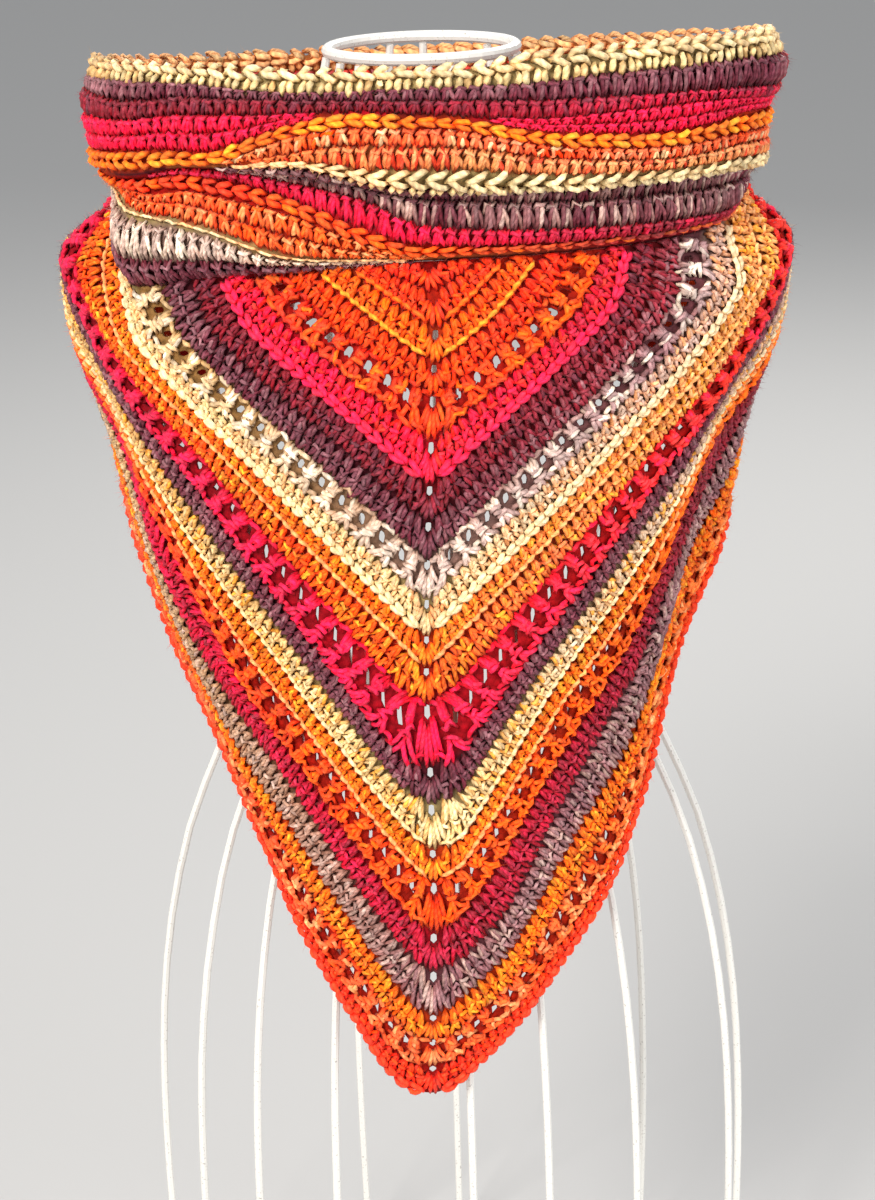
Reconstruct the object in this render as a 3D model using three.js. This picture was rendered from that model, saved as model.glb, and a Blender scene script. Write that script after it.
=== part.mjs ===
// A crocheted bandana cowl draped on a limbless wire dress form.
// Millimetres, +Z up. The front faces -Y, and +X is on the right as the front is seen.
// The form stands on the flat underside of its bottom hoop, at z = 0.
import * as THREE from "three";

const WALL = 4.0; // thickness of the crocheted fabric
const SEAM = 0.3; // gap left between pieces that are joined
const ROWS = 22; // rows of the triangle, counted along the centre spine
const BORDER_FROM = 20; // the last rows are the border
const ROW_STEPS = 64; // facets along one row of the triangle, end to end
const BAND_STEPS = 8; // facets down the neck band
const POUCH_STEPS = 8; // facets down the lower neck rounds
const ROW_SEAM = 0.2; // how far each side of a joined row line stops short of it
const NECKLINE_SEAM = 0.37; // how far the neck tube's lower edge is lifted off the triangle
const NECKLINE_EASE = 26; // height over which the cloth eases from the neckline into its drape
const END_EASE = 0.12; // last share of a row over which it settles onto the neckline

const NECK = { width: 146, front: 88, back: 80 }; // half sizes of the neck tube's base section
const RING = { radius: 41, z: 667, wire: 2.6 }; // neck ring of the form, wire radius last
const RING_FACETS = { around: 10, along: 40 };
const WIRE = { radius: 1.8, sides: 8, steps: 30 }; // a body wire
const WIRE_CLEAR = { top: 0.4, bottom: 0.35 }; // gaps from a wire to the ring and to the hoop
const HOOP = { thick: 4, height: 5, facet: 7.5 }; // flat strip that the form stands on, facet in degrees
const CENTRE_Y = 2.6; // moves the whole part so that its box is centred on the origin

// Half sizes of the wire form at each height, to the middle of the wires.
const FORM = [
  { z: 3, width: 143, front: 93, back: 92 },
  { z: 80, width: 146, front: 94.5, back: 93 },
  { z: 150, width: 145.5, front: 95, back: 93 },
  { z: 205, width: 142, front: 93, back: 90 },
  { z: 255, width: 134.5, front: 87, back: 84 },
  { z: 306, width: 121, front: 76, back: 74 },
  { z: 345, width: 104.5, front: 69, back: 65 },
  { z: 372, width: 98, front: 68, back: 62 },
  { z: 420, width: 108, front: 79, back: 65 },
  { z: 460, width: 121, front: 89, back: 69 },
  { z: 495, width: 132, front: 91.8, back: 71 },
  { z: 530, width: 142.5, front: 85, back: 71 },
  { z: 560, width: 153, front: 76, back: 70 },
  { z: 580, width: 151.5, front: 69.5, back: 68 },
  { z: 596, width: 121, front: 62, back: 60 },
  { z: 608, width: 92, front: 56, back: 54 },
  { z: 622, width: 66, front: 49, back: 48 },
  { z: 636, width: 50, front: 44, back: 44 },
  { z: 650, width: 43, front: 41.5, back: 41.5 },
  { z: 667, width: 41, front: 41, back: 41 },
];

// Azimuth of each body wire: 0 is the front, 90 is +X, 180 the back.
const WIRES = [-90, -57, -40, -22.5, 3.5, 18, 37, 70, 90, 135, 179, -160];

// Half sizes of the draped cloth below the neck, to the middle of the wall. centre: its sideways place.
const DRAPE = [
  { z: 195, centre: 0, width: 131, front: 99.5, back: 90 },
  { z: 250, centre: 0, width: 122, front: 97.5, back: 84 },
  { z: 300, centre: 0, width: 113, front: 96, back: 78 },
  { z: 335, centre: -1, width: 110, front: 95, back: 74 },
  { z: 365, centre: -2, width: 112, front: 94.5, back: 74 },
  { z: 411, centre: -4, width: 122.5, front: 95, back: 78 },
  { z: 450, centre: -4, width: 132, front: 96.5, back: 80 },
  { z: 500, centre: -3, width: 142.5, front: 97, back: 81 },
  { z: 547, centre: -1.5, width: 157, front: 92, back: 82 },
  { z: 578, centre: -0.5, width: 160.5, front: 86, back: 83 },
  { z: 620, centre: 0, width: 157, front: 84, back: 83 },
];

// Folds of the draped cloth: azimuth, height and reach of each, and how far it moves the wall out.
const FOLDS = [
  { az: 66, z: 455, wide: 7, tall: 50, out: -4 },
  { az: 80, z: 440, wide: 7, tall: 75, out: 4 },
  { az: 52, z: 500, wide: 8, tall: 45, out: 3 },
  { az: -72, z: 520, wide: 9, tall: 55, out: -4 },
  { az: -56, z: 470, wide: 9, tall: 70, out: 3 },
  { az: -105, z: 500, wide: 10, tall: 70, out: 4 },
  { az: 108, z: 500, wide: 9, tall: 70, out: -4 },
  { az: 128, z: 540, wide: 10, tall: 50, out: 4 },
  { az: -135, z: 545, wide: 11, tall: 45, out: -4 },
  { az: 22, z: 400, wide: 12, tall: 90, out: 1.5 },
  { az: -24, z: 360, wide: 12, tall: 80, out: 1.5 },
];

// Row lines of the triangle. end: azimuth where the row meets the neckline. spine: height at the
// centre front. swell and lean: how the row bows between the two. round: blunt width of its point.
const LINES = [
  { row: 0, end: 5, spine: 589.8, swell: 0, lean: 0, round: 0.5 },
  { row: 1, end: 9, spine: 577, swell: 0, lean: 0, round: 0.5 },
  { row: 2, end: 14, spine: 563, swell: 0, lean: 0, round: 0.5 },
  { row: 3, end: 20, spine: 549, swell: 0, lean: 0, round: 0.5 },
  { row: 4, end: 26, spine: 536, swell: 0, lean: 0, round: 0.5 },
  { row: 5, end: 32, spine: 517, swell: 0, lean: 0, round: 0.5 },
  { row: 6, end: 38, spine: 498, swell: 0, lean: 0, round: 0.5 },
  { row: 7, end: 44, spine: 482, swell: 0, lean: 0, round: 0.5 },
  { row: 8, end: 50, spine: 465, swell: 0, lean: 0, round: 0.5 },
  { row: 9, end: 58, spine: 447, swell: 0, lean: 0, round: 0.5 },
  { row: 10, end: 68, spine: 430, swell: 0, lean: 0, round: 0.5 },
  { row: 11, end: 78, spine: 415, swell: 0.02, lean: 0.0, round: 0.7 },
  { row: 12, end: 87, spine: 398, swell: 0.05, lean: 0.01, round: 1 },
  { row: 13, end: 96, spine: 368, swell: 0.07, lean: 0.02, round: 1.5 },
  { row: 14, end: 105, spine: 350, swell: 0.05, lean: 0.05, round: 1.5 },
  { row: 15, end: 113, spine: 328, swell: 0.02, lean: 0.08, round: 2 },
  { row: 16, end: 121, spine: 312, swell: 0, lean: 0.1, round: 2 },
  { row: 17, end: 130, spine: 287, swell: -0.03, lean: 0.12, round: 2.5 },
  { row: 18, end: 139, spine: 268, swell: -0.05, lean: 0.125, round: 3 },
  { row: 19, end: 149, spine: 246, swell: -0.08, lean: 0.12, round: 4 },
  { row: 20, end: 159, spine: 233, swell: -0.1, lean: 0.11, round: 5 },
  { row: 21, end: 169, spine: 220, swell: -0.12, lean: 0.1, round: 6.5 },
  { row: 22, end: 179.7, spine: 206, swell: -0.12, lean: 0.1, round: 6 },
];

// How much higher some row lines lie than their bow, at azimuths round the form: at the sides the
// rows swing up towards the shoulders.
const LIFT = [
  { az: -180, line13: 0, line15: 0, line17: 0, line18: 0, line19: 0, line22: 0 },
  { az: -150, line13: 0, line15: 0, line17: 0, line18: 0, line19: 0, line22: 50 },
  { az: -125, line13: 0, line15: 0, line17: 8, line18: 20, line19: 52, line22: 96 },
  { az: -100, line13: 0, line15: 22, line17: 64, line18: 80, line19: 96, line22: 114 },
  { az: -84, line13: 0, line15: 38, line17: 84, line18: 90, line19: 92, line22: 104 },
  { az: -72, line13: 2, line15: 36, line17: 66, line18: 62, line19: 56, line22: 68 },
  { az: -62, line13: 5, line15: 33, line17: 51, line18: 26, line19: 14, line22: 40 },
  { az: -56, line13: 4, line15: 24, line17: 38, line18: -2, line19: -10, line22: 28 },
  { az: -50, line13: 0, line15: 10, line17: 10, line18: -17, line19: -18, line22: 18 },
  { az: -44, line13: -3, line15: 0, line17: -15, line18: -26, line19: -20, line22: 13 },
  { az: -36, line13: -9, line15: -10, line17: -28, line18: -26, line19: -19, line22: 5 },
  { az: -27, line13: -12, line15: -16, line17: -27, line18: -25, line19: -17, line22: 3 },
  { az: -18, line13: -13, line15: -19, line17: -21, line18: -19, line19: -10, line22: 2 },
  { az: -8, line13: -15, line15: -9, line17: -10, line18: -7, line19: -4, line22: -3 },
  { az: 0, line13: 0, line15: 0, line17: 0, line18: 0, line19: 0, line22: 0 },
  { az: 8, line13: -15, line15: -16, line17: -11, line18: -13, line19: -6, line22: 0 },
  { az: 18, line13: -13, line15: -19, line17: -20, line18: -26, line19: -18, line22: -2 },
  { az: 27, line13: -12, line15: -14, line17: -20, line18: -24, line19: -17, line22: -1 },
  { az: 36, line13: -11, line15: -10, line17: -17, line18: -22, line19: -18, line22: -2 },
  { az: 44, line13: -5, line15: 0, line17: -8, line18: -15, line19: -18, line22: 0 },
  { az: 50, line13: -2, line15: 14, line17: 18, line18: -6, line19: -15, line22: 6 },
  { az: 56, line13: 2, line15: 35, line17: 60, line18: 28, line19: -4, line22: 11 },
  { az: 62, line13: 4, line15: 43, line17: 70, line18: 48, line19: 40, line22: 22 },
  { az: 72, line13: 2, line15: 44, line17: 76, line18: 72, line19: 68, line22: 66 },
  { az: 84, line13: 0, line15: 40, line17: 86, line18: 94, line19: 98, line22: 106 },
  { az: 100, line13: 0, line15: 22, line17: 64, line18: 80, line19: 96, line22: 114 },
  { az: 125, line13: 0, line15: 0, line17: 8, line18: 20, line19: 52, line22: 96 },
  { az: 150, line13: 0, line15: 0, line17: 0, line18: 0, line19: 0, line22: 50 },
  { az: 180, line13: 0, line15: 0, line17: 0, line18: 0, line19: 0, line22: 0 },
];
const LIFT_LINES = [11, 13, 15, 17, 18, 19, 22, 23]; // none at the first and last

// The spine runs slightly across the form: its offset at one height, how fast that shrinks below it,
// and how wide a part of the cloth moves with it.
const SPINE = { offset: 4, z: 581, slope: 12 / 351, wide: 35 };

// Profile of the neck tube at each azimuth, rim to neckline, as [outward, height] from its base.
// The band overhangs from rim to fold, then the lower rounds step in, bulge and tuck under.
const NECK_TUBE = [
  { az: -180, rim: [-2, 655], upper: [2, 642], lower: [3, 628], fold: [1.5, 614], tuck: [-3, 611],
    inner: [-5.5, 609], pouch: [-7.2, 607.2], foot: [-8.3, 605.5], neck: [-9, 603.5] },
  { az: -130, rim: [-4, 658], upper: [0, 645], lower: [2, 630], fold: [0, 617], tuck: [-4.2, 613.5],
    inner: [-6.5, 611], pouch: [-8.2, 609], foot: [-9.2, 607], neck: [-9.8, 605] },
  { az: -90, rim: [-6, 665], upper: [0, 650], lower: [-1.5, 633], fold: [-3.5, 621], tuck: [-6.5, 616.5],
    inner: [-8.4, 614], pouch: [-9.6, 611.8], foot: [-10.2, 609.8], neck: [-10.5, 607.5] },
  { az: -72, rim: [-5, 667], upper: [1, 651], lower: [0, 635], fold: [-0.5, 622.5], tuck: [-4.5, 618],
    inner: [-6, 614.5], pouch: [-6.4, 610.5], foot: [-7.4, 606], neck: [-9.5, 601] },
  { az: -55, rim: [-3, 668], upper: [3, 653], lower: [4.5, 638], fold: [5, 625.5], tuck: [0, 621.5],
    inner: [1, 614.5], pouch: [9, 603.5], foot: [11.5, 591.5], neck: [5, 577.5] },
  { az: -40, rim: [-3, 668], upper: [3.5, 655], lower: [6, 643], fold: [6, 631.5], tuck: [0, 627.5],
    inner: [-0.5, 619], pouch: [7, 605], foot: [7, 592.5], neck: [-2, 583] },
  { az: -22, rim: [-3, 667.5], upper: [3, 655], lower: [6.5, 643], fold: [6, 632], tuck: [-0.5, 628],
    inner: [-2.5, 619], pouch: [3, 605.5], foot: [1.5, 593.5], neck: [-7, 587.5] },
  { az: 0, rim: [-3, 667.5], upper: [2, 654], lower: [4, 638], fold: [3.2, 624], tuck: [-2.5, 620.5],
    inner: [-4, 614.5], pouch: [0, 605], foot: [-1.8, 596.5], neck: [-8, 590] },
  { az: 30, rim: [-2, 673], upper: [3, 658], lower: [4, 639], fold: [3.5, 623], tuck: [-2, 619.5],
    inner: [-3.5, 613], pouch: [0, 605], foot: [-1.5, 597.5], neck: [-8, 590.5] },
  { az: 60, rim: [1, 672.5], upper: [6, 659], lower: [4, 640], fold: [4, 622.5], tuck: [-1.5, 618.5],
    inner: [-2.8, 612.5], pouch: [0, 605.5], foot: [-1, 599], neck: [-6, 592.5] },
  { az: 78, rim: [3, 671], upper: [10, 657], lower: [4, 638], fold: [3, 619.5], tuck: [-2, 615.5],
    inner: [-3.6, 612], pouch: [-4.4, 609], foot: [-5, 606], neck: [-6, 602.5] },
  { az: 90, rim: [3, 669], upper: [10, 656], lower: [2.5, 637], fold: [1.5, 618], tuck: [-2.6, 614],
    inner: [-4.8, 611.7], pouch: [-6.2, 609.7], foot: [-7, 608], neck: [-7.5, 606] },
  { az: 130, rim: [1, 662], upper: [5, 650], lower: [4, 632], fold: [2, 616], tuck: [-2.6, 612.5],
    inner: [-5.2, 610.4], pouch: [-7, 608.6], foot: [-8.2, 606.8], neck: [-8.8, 604.8] },
];

const RAD = Math.PI / 180;
const PROBE = { row: 0.1, along: 0.004, run: 0.01 }; // small steps that give the cloth's directions

// Value of one column of a table at x, along a smooth line through its rows.
function column(table, key, name, x, part) {
  const value = (row) => (part === undefined ? row[name] : row[name][part]);
  const last = table.length - 1;
  let i = 0;
  while (i < last - 1 && x > table[i + 1][key]) i += 1;
  const x0 = table[i][key];
  const x1 = table[i + 1][key];
  const slope = (a, b) => (value(table[b]) - value(table[a])) / (table[b][key] - table[a][key]);
  const here = slope(i, i + 1);
  const before = i > 0 ? slope(i - 1, i) : here;
  const after = i + 1 < last ? slope(i + 1, i + 2) : here;
  const m0 = before * here > 0 ? (2 * before * here) / (before + here) : 0;
  const m1 = after * here > 0 ? (2 * after * here) / (after + here) : 0;
  const t = Math.min(1, Math.max(0, (x - x0) / (x1 - x0)));
  const h = x1 - x0;
  const s = t * t * (3 - 2 * t);
  const a = t * (1 - t) * (1 - t);
  const b = t * t * (t - 1);
  return value(table[i]) * (1 - s) + value(table[i + 1]) * s + h * (a * m0 + b * m1);
}

// The neck tube's table runs once round, so its first row is repeated at +180.
const NECK_LOOP = [...NECK_TUBE, { ...NECK_TUBE[0], az: 180 }];
const PROFILE = ["rim", "upper", "lower", "fold", "tuck", "inner", "pouch", "foot", "neck"];
const TUCK_AT = PROFILE.indexOf("tuck") / (PROFILE.length - 1);

// A point of an oval section: half width, half depth in front and half depth behind.
function oval(az, width, front, back, z) {
  const c = Math.cos(az * RAD);
  return new THREE.Vector3(width * Math.sin(az * RAD), -(c > 0 ? front : back) * c, z);
}

// The direction straight out of the neck tube's base section, level.
function outward(az) {
  const depth = Math.cos(az * RAD) > 0 ? NECK.front : NECK.back;
  return new THREE.Vector3(Math.sin(az * RAD) / NECK.width, -Math.cos(az * RAD) / depth, 0).normalize();
}

function neckPoint(az, out, z) {
  return oval(az, NECK.width, NECK.front, NECK.back, z).addScaledVector(outward(az), out);
}

// The neck tube's profile at an azimuth, as a smooth curve from rim to neckline.
function profile(az) {
  const points = PROFILE.map((name) => {
    return neckPoint(az, column(NECK_LOOP, "az", name, az, 0), column(NECK_LOOP, "az", name, az, 1));
  });
  return new THREE.CatmullRomCurve3(points, false, "catmullrom", 0.5);
}

function neckline(az) {
  return { out: column(NECK_LOOP, "az", "neck", az, 0), z: column(NECK_LOOP, "az", "neck", az, 1) };
}

// How much higher a row line lies than its bow.
function lift(row, az) {
  let total = 0;
  for (let k = 1; k < LIFT_LINES.length - 1; k += 1) {
    const below = (row - LIFT_LINES[k - 1]) / (LIFT_LINES[k] - LIFT_LINES[k - 1]);
    const above = (LIFT_LINES[k + 1] - row) / (LIFT_LINES[k + 1] - LIFT_LINES[k]);
    const share = Math.max(0, Math.min(1, below, above));
    if (share > 0) total += share * column(LIFT, "az", `line${LIFT_LINES[k]}`, az);
  }
  return total;
}

// Height of a row line at an azimuth.
function rowHeight(row, az) {
  const end = column(LINES, "row", "end", row);
  const round = column(LINES, "row", "round", row);
  const blunt = (x) => Math.sqrt(x * x + round * round) - round;
  const t = blunt(az) / blunt(end);
  const spine = column(LINES, "row", "spine", row);
  const top = neckline(az < 0 ? -end : end).z - SEAM / 2;
  const bow = column(LINES, "row", "swell", row) * Math.sin(Math.PI * t)
    + column(LINES, "row", "lean", row) * Math.sin(2 * Math.PI * t);
  const fade = Math.max(0, Math.min(1, (1 - t) / END_EASE));
  return spine + (top - spine) * (t + bow) + fade * lift(row, az);
}

// A point of the draped cloth, at the middle of its wall.
function drapePoint(row, along) {
  const end = column(LINES, "row", "end", row);
  const az = along * end;
  const z = rowHeight(row, az);
  const edge = neckline(az);
  const top = neckPoint(az, edge.out, z);
  const low = oval(az, column(DRAPE, "z", "width", z), column(DRAPE, "z", "front", z),
    column(DRAPE, "z", "back", z), z);
  low.x += column(DRAPE, "z", "centre", z);
  const down = Math.min(1, Math.max(0, (edge.z - z) / NECKLINE_EASE));
  const blend = down * down * (3 - 2 * down);
  const point = top.lerp(low, blend);
  let out = 0;
  for (const fold of FOLDS) {
    out += fold.out * Math.exp(-(((az - fold.az) / fold.wide) ** 2) - ((z - fold.z) / fold.tall) ** 2);
  }
  point.addScaledVector(outward(az), out * blend);
  const skew = SPINE.offset - SPINE.slope * (SPINE.z - z);
  point.x += skew * blend * Math.exp(-((az / SPINE.wide) ** 2));
  return point;
}

// A closed wall on a grid of points. middle(i, j) gives a point, normal(i, j) its outward side.
function wall(columns, rows, loop, middle, normal) {
  const across = loop ? columns : columns + 1;
  const positions = [];
  for (const side of [1, -1]) {
    for (let j = 0; j <= rows; j += 1) {
      for (let i = 0; i < across; i += 1) {
        const point = middle(i, j).addScaledVector(normal(i, j), (side * WALL) / 2);
        positions.push(point.x, point.y, point.z);
      }
    }
  }
  const inner = across * (rows + 1);
  const at = (i, j) => j * across + (i % across);
  const index = [];
  const quad = (a, b, c, d) => index.push(a, b, c, a, c, d);
  for (let j = 0; j < rows; j += 1) {
    for (let i = 0; i < columns; i += 1) {
      quad(at(i, j), at(i, j + 1), at(i + 1, j + 1), at(i + 1, j));
      quad(inner + at(i, j), inner + at(i + 1, j), inner + at(i + 1, j + 1), inner + at(i, j + 1));
    }
  }
  for (let i = 0; i < columns; i += 1) {
    quad(at(i + 1, 0), inner + at(i + 1, 0), inner + at(i, 0), at(i, 0));
    quad(at(i + 1, rows), at(i, rows), inner + at(i, rows), inner + at(i + 1, rows));
  }
  if (!loop) {
    for (let j = 0; j < rows; j += 1) {
      quad(at(0, j + 1), at(0, j), inner + at(0, j), inner + at(0, j + 1));
      quad(at(columns, j), at(columns, j + 1), inner + at(columns, j + 1), inner + at(columns, j));
    }
  }
  const geometry = new THREE.BufferGeometry();
  geometry.setAttribute("position", new THREE.Float32BufferAttribute(positions, 3));
  geometry.setIndex(index);
  geometry.computeVertexNormals();
  return geometry;
}

// The neck tube has a section wherever a row of the triangle ends, so the two edges run together.
function sections() {
  const ends = LINES.map((line) => line.end);
  return [-180, ...ends.map((az) => -az).reverse(), 0, ...ends];
}

// One stretch of the neck tube between two places on its profile.
function neckPiece(from, to, steps) {
  const az = sections();
  const curves = az.map(profile);
  const place = (j) => from + ((to - from) * j) / steps;
  const gap = (i, j) => {
    const length = curves[i].getTangent(place(j));
    if (j === steps && to === 1) return new THREE.Vector3(0, 0, NECKLINE_SEAM);
    if (j === steps) return length.multiplyScalar(-SEAM / 2);
    return j === 0 && from > 0 ? length.multiplyScalar(SEAM / 2) : new THREE.Vector3();
  };
  const middle = (i, j) => curves[i].getPoint(place(j)).add(gap(i, j));
  const normal = (i, j) => {
    if (to === 1 && j === steps) return outward(az[i]);
    const side = outward(az[i]);
    const along = curves[i].getTangent(place(j));
    const level = new THREE.Vector3(-side.y, side.x, 0);
    return new THREE.Vector3().crossVectors(level, along).negate().normalize();
  };
  return wall(az.length, steps, true, middle, normal);
}

// One stretch of the triangle between two of its row lines.
function trianglePiece(from, to, steps) {
  const row = (j) => from + ((to - from) * j) / steps;
  const along = (i) => (2 * i) / ROW_STEPS - 1;
  const normal = (i, j) => {
    const end = column(LINES, "row", "end", row(j));
    if (i === 0 || i === ROW_STEPS) return outward(along(i) * end);
    const up = drapePoint(Math.max(0, row(j) - PROBE.row), along(i));
    const down = drapePoint(Math.min(ROWS, row(j) + PROBE.row), along(i));
    const left = drapePoint(row(j), along(i) - PROBE.along);
    const right = drapePoint(row(j), along(i) + PROBE.along);
    return right.sub(left).cross(up.sub(down)).normalize();
  };
  // Where two stretches are joined, each stops half a seam gap short, square to the row.
  const seam = (i, j) => {
    const at = row(j);
    const side = j === steps ? -1 : 1;
    if (at === 0 || at === ROWS || (j > 0 && j < steps)) return new THREE.Vector3();
    const step = i === ROW_STEPS ? -PROBE.run : PROBE.run;
    const run = drapePoint(at, along(i) + step).sub(drapePoint(at, along(i))).multiplyScalar(Math.sign(step));
    return run.cross(normal(i, j)).normalize().multiplyScalar(side * ROW_SEAM);
  };
  const middle = (i, j) => drapePoint(row(j), along(i)).add(seam(i, j));
  return wall(ROW_STEPS, steps, false, middle, normal);
}

// The path of one body wire, from just under the neck ring down to just above the hoop.
function wirePath(az) {
  const points = [...FORM].reverse().map((row) => oval(az, row.width, row.front, row.back, row.z));
  const top = points[0];
  const next = points[1].clone().sub(top).normalize();
  points[0] = top.clone().addScaledVector(next, RING.wire + WIRE_CLEAR.top);
  points[points.length - 1].z = HOOP.height + WIRE_CLEAR.bottom;
  return new THREE.CatmullRomCurve3(points, false, "centripetal");
}

function tube(path, radius, sides, steps) {
  const section = new THREE.Shape();
  for (let i = 0; i < sides; i += 1) {
    const a = (2 * Math.PI * i) / sides;
    const at = [radius * Math.cos(a), radius * Math.sin(a)];
    if (i === 0) section.moveTo(...at);
    else section.lineTo(...at);
  }
  section.closePath();
  return new THREE.ExtrudeGeometry(section, { steps, bevelEnabled: false, extrudePath: path });
}

function hoop() {
  const foot = FORM[0];
  const ring = (grow) => {
    const points = [];
    for (let az = 0; az < 360; az += HOOP.facet) {
      const p = oval(az, foot.width + grow, foot.front + grow, foot.back + grow, 0);
      points.push(new THREE.Vector2(p.x, p.y));
    }
    return points;
  };
  const outline = new THREE.Shape(ring(HOOP.thick / 2));
  outline.holes.push(new THREE.Path(ring(-HOOP.thick / 2)));
  return new THREE.ExtrudeGeometry(outline, { depth: HOOP.height, bevelEnabled: false });
}

function neckRing() {
  const section = [];
  for (let i = 0; i <= RING_FACETS.around; i += 1) {
    const a = (2 * Math.PI * i) / RING_FACETS.around;
    section.push(new THREE.Vector2(RING.radius + RING.wire * Math.cos(a), RING.wire * Math.sin(a)));
  }
  const geometry = new THREE.LatheGeometry(section, RING_FACETS.along);
  geometry.rotateX(Math.PI / 2);
  geometry.translate(0, 0, RING.z);
  return geometry;
}

const group = new THREE.Group();

function add(name, geometry, colour, roughness, metalness) {
  const material = new THREE.MeshStandardMaterial({ color: colour, roughness, metalness });
  const mesh = new THREE.Mesh(geometry, material);
  mesh.name = name;
  mesh.position.y = CENTRE_Y;
  group.add(mesh);
}

add("neck_band", neckPiece(0, TUCK_AT, BAND_STEPS), 0xe8742a, 0.9, 0);
add("neck_pouch", neckPiece(TUCK_AT, 1, POUCH_STEPS), 0x7c2340, 0.9, 0);
add("front_triangle", trianglePiece(0, BORDER_FROM, BORDER_FROM), 0xc23a3a, 0.9, 0);
add("hem_border", trianglePiece(BORDER_FROM, ROWS, ROWS - BORDER_FROM), 0xf0562a, 0.9, 0);
add("neck_ring", neckRing(), 0xf1ede2, 0.4, 0.1);
WIRES.forEach((az, i) => {
  const name = `wire_${String(i + 1).padStart(2, "0")}`;
  add(name, tube(wirePath(az), WIRE.radius, WIRE.sides, WIRE.steps), 0xf1ede2, 0.4, 0.1);
});
add("base_hoop", hoop(), 0xf1ede2, 0.4, 0.1);

export default group;
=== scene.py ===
"""A crocheted bandana cowl on a white wire dress form.

Every piece of cloth is a thin shell on the form of its solid, with its stitches as strands of yarn on top.
Lengths are millimetres until a mesh is made, which is in metres. +Z is up and the front faces -Y.
"""

import math

import bpy
import numpy as np
from mathutils import Matrix, Vector


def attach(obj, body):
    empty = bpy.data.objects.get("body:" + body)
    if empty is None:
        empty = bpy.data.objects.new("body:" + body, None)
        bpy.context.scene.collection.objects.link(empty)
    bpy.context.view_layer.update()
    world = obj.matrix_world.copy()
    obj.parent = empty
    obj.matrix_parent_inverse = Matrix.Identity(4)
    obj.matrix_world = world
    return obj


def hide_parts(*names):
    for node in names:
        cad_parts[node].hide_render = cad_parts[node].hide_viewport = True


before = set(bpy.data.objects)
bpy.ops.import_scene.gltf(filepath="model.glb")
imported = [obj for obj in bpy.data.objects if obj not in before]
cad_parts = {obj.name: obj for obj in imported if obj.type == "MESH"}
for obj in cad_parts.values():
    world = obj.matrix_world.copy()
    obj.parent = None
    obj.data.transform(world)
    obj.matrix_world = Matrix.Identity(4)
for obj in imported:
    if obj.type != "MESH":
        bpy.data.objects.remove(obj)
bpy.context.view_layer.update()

rng = np.random.default_rng(17)

MM = 0.001
SEAM = 0.3  # gap between pieces that are joined
ROWS = 22  # rows of the triangle
BORDER_FROM = 20  # the last rows are the border
CENTRE_Y = 2.6  # places the part over the origin
CLOTH_OUT = 0.1  # the shell's outer face, from the middle of the solid's wall
CLOTH_IN = -1.5  # and its inner face
NECKLINE_EASE = 26  # height over which the cloth eases from the neckline into its drape
END_EASE = 0.12  # last share of a row over which it settles onto the neckline
SKEW = {"top": 4, "fall": 12, "from": 581, "over": 351, "wide": 35}  # sideways lean of the centre front
ARM_CHANGE = 1.6  # a row has changed to its far colour at one part in this of its arm

# The form of the cloth, as in the solids

NECK = {"width": 146, "front": 88, "back": 80}

# Half sizes of the draped cloth below the neck, to the middle of its wall.
DRAPE = {
    "z": [195, 250, 300, 335, 365, 411, 450, 500, 547, 578, 620],
    "centre": [0, 0, 0, -1, -2, -4, -4, -3, -1.5, -0.5, 0],
    "width": [131, 122, 113, 110, 112, 122.5, 132, 142.5, 157, 160.5, 157],
    "front": [99.5, 97.5, 96, 95, 94.5, 95, 96.5, 97, 92, 86, 84],
    "back": [90, 84, 78, 74, 74, 78, 80, 81, 82, 83, 83],
}

# Folds of the draped cloth: where each is, its reach and how far it moves the wall out.
FOLDS = {
    "az": [66, 80, 52, -72, -56, -105, 108, 128, -135, 22, -24],
    "z": [455, 440, 500, 520, 470, 500, 500, 540, 545, 400, 360],
    "wide": [7, 7, 8, 9, 9, 10, 9, 10, 11, 12, 12],
    "tall": [50, 75, 45, 55, 70, 70, 70, 50, 45, 90, 80],
    "out": [-4, 4, 3, -4, 3, 4, -4, 4, -4, 1.5, 1.5],
}

# Row lines of the triangle: azimuth of the end, height at the centre front, bow and blunt point.
LINES = {
    "row": list(range(23)),
    "end": [5, 9, 14, 20, 26, 32, 38, 44, 50, 58, 68, 78, 87, 96, 105, 113, 121, 130, 139, 149, 159, 169,
            179.7],
    "spine": [589.8, 577, 563, 549, 536, 517, 498, 482, 465, 447, 430, 415, 398, 368, 350, 328, 312, 287, 268,
              246, 233, 220, 206],
    "swell": [0] * 11 + [0.02, 0.05, 0.07, 0.05, 0.02, 0, -0.03, -0.05, -0.08, -0.1, -0.12, -0.12],
    "lean": [0] * 12 + [0.01, 0.02, 0.05, 0.08, 0.1, 0.12, 0.125, 0.12, 0.11, 0.1, 0.1],
    "round": [0.5] * 11 + [0.7, 1, 1.5, 1.5, 2, 2, 2.5, 3, 4, 5, 6.5, 6],
}

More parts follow.
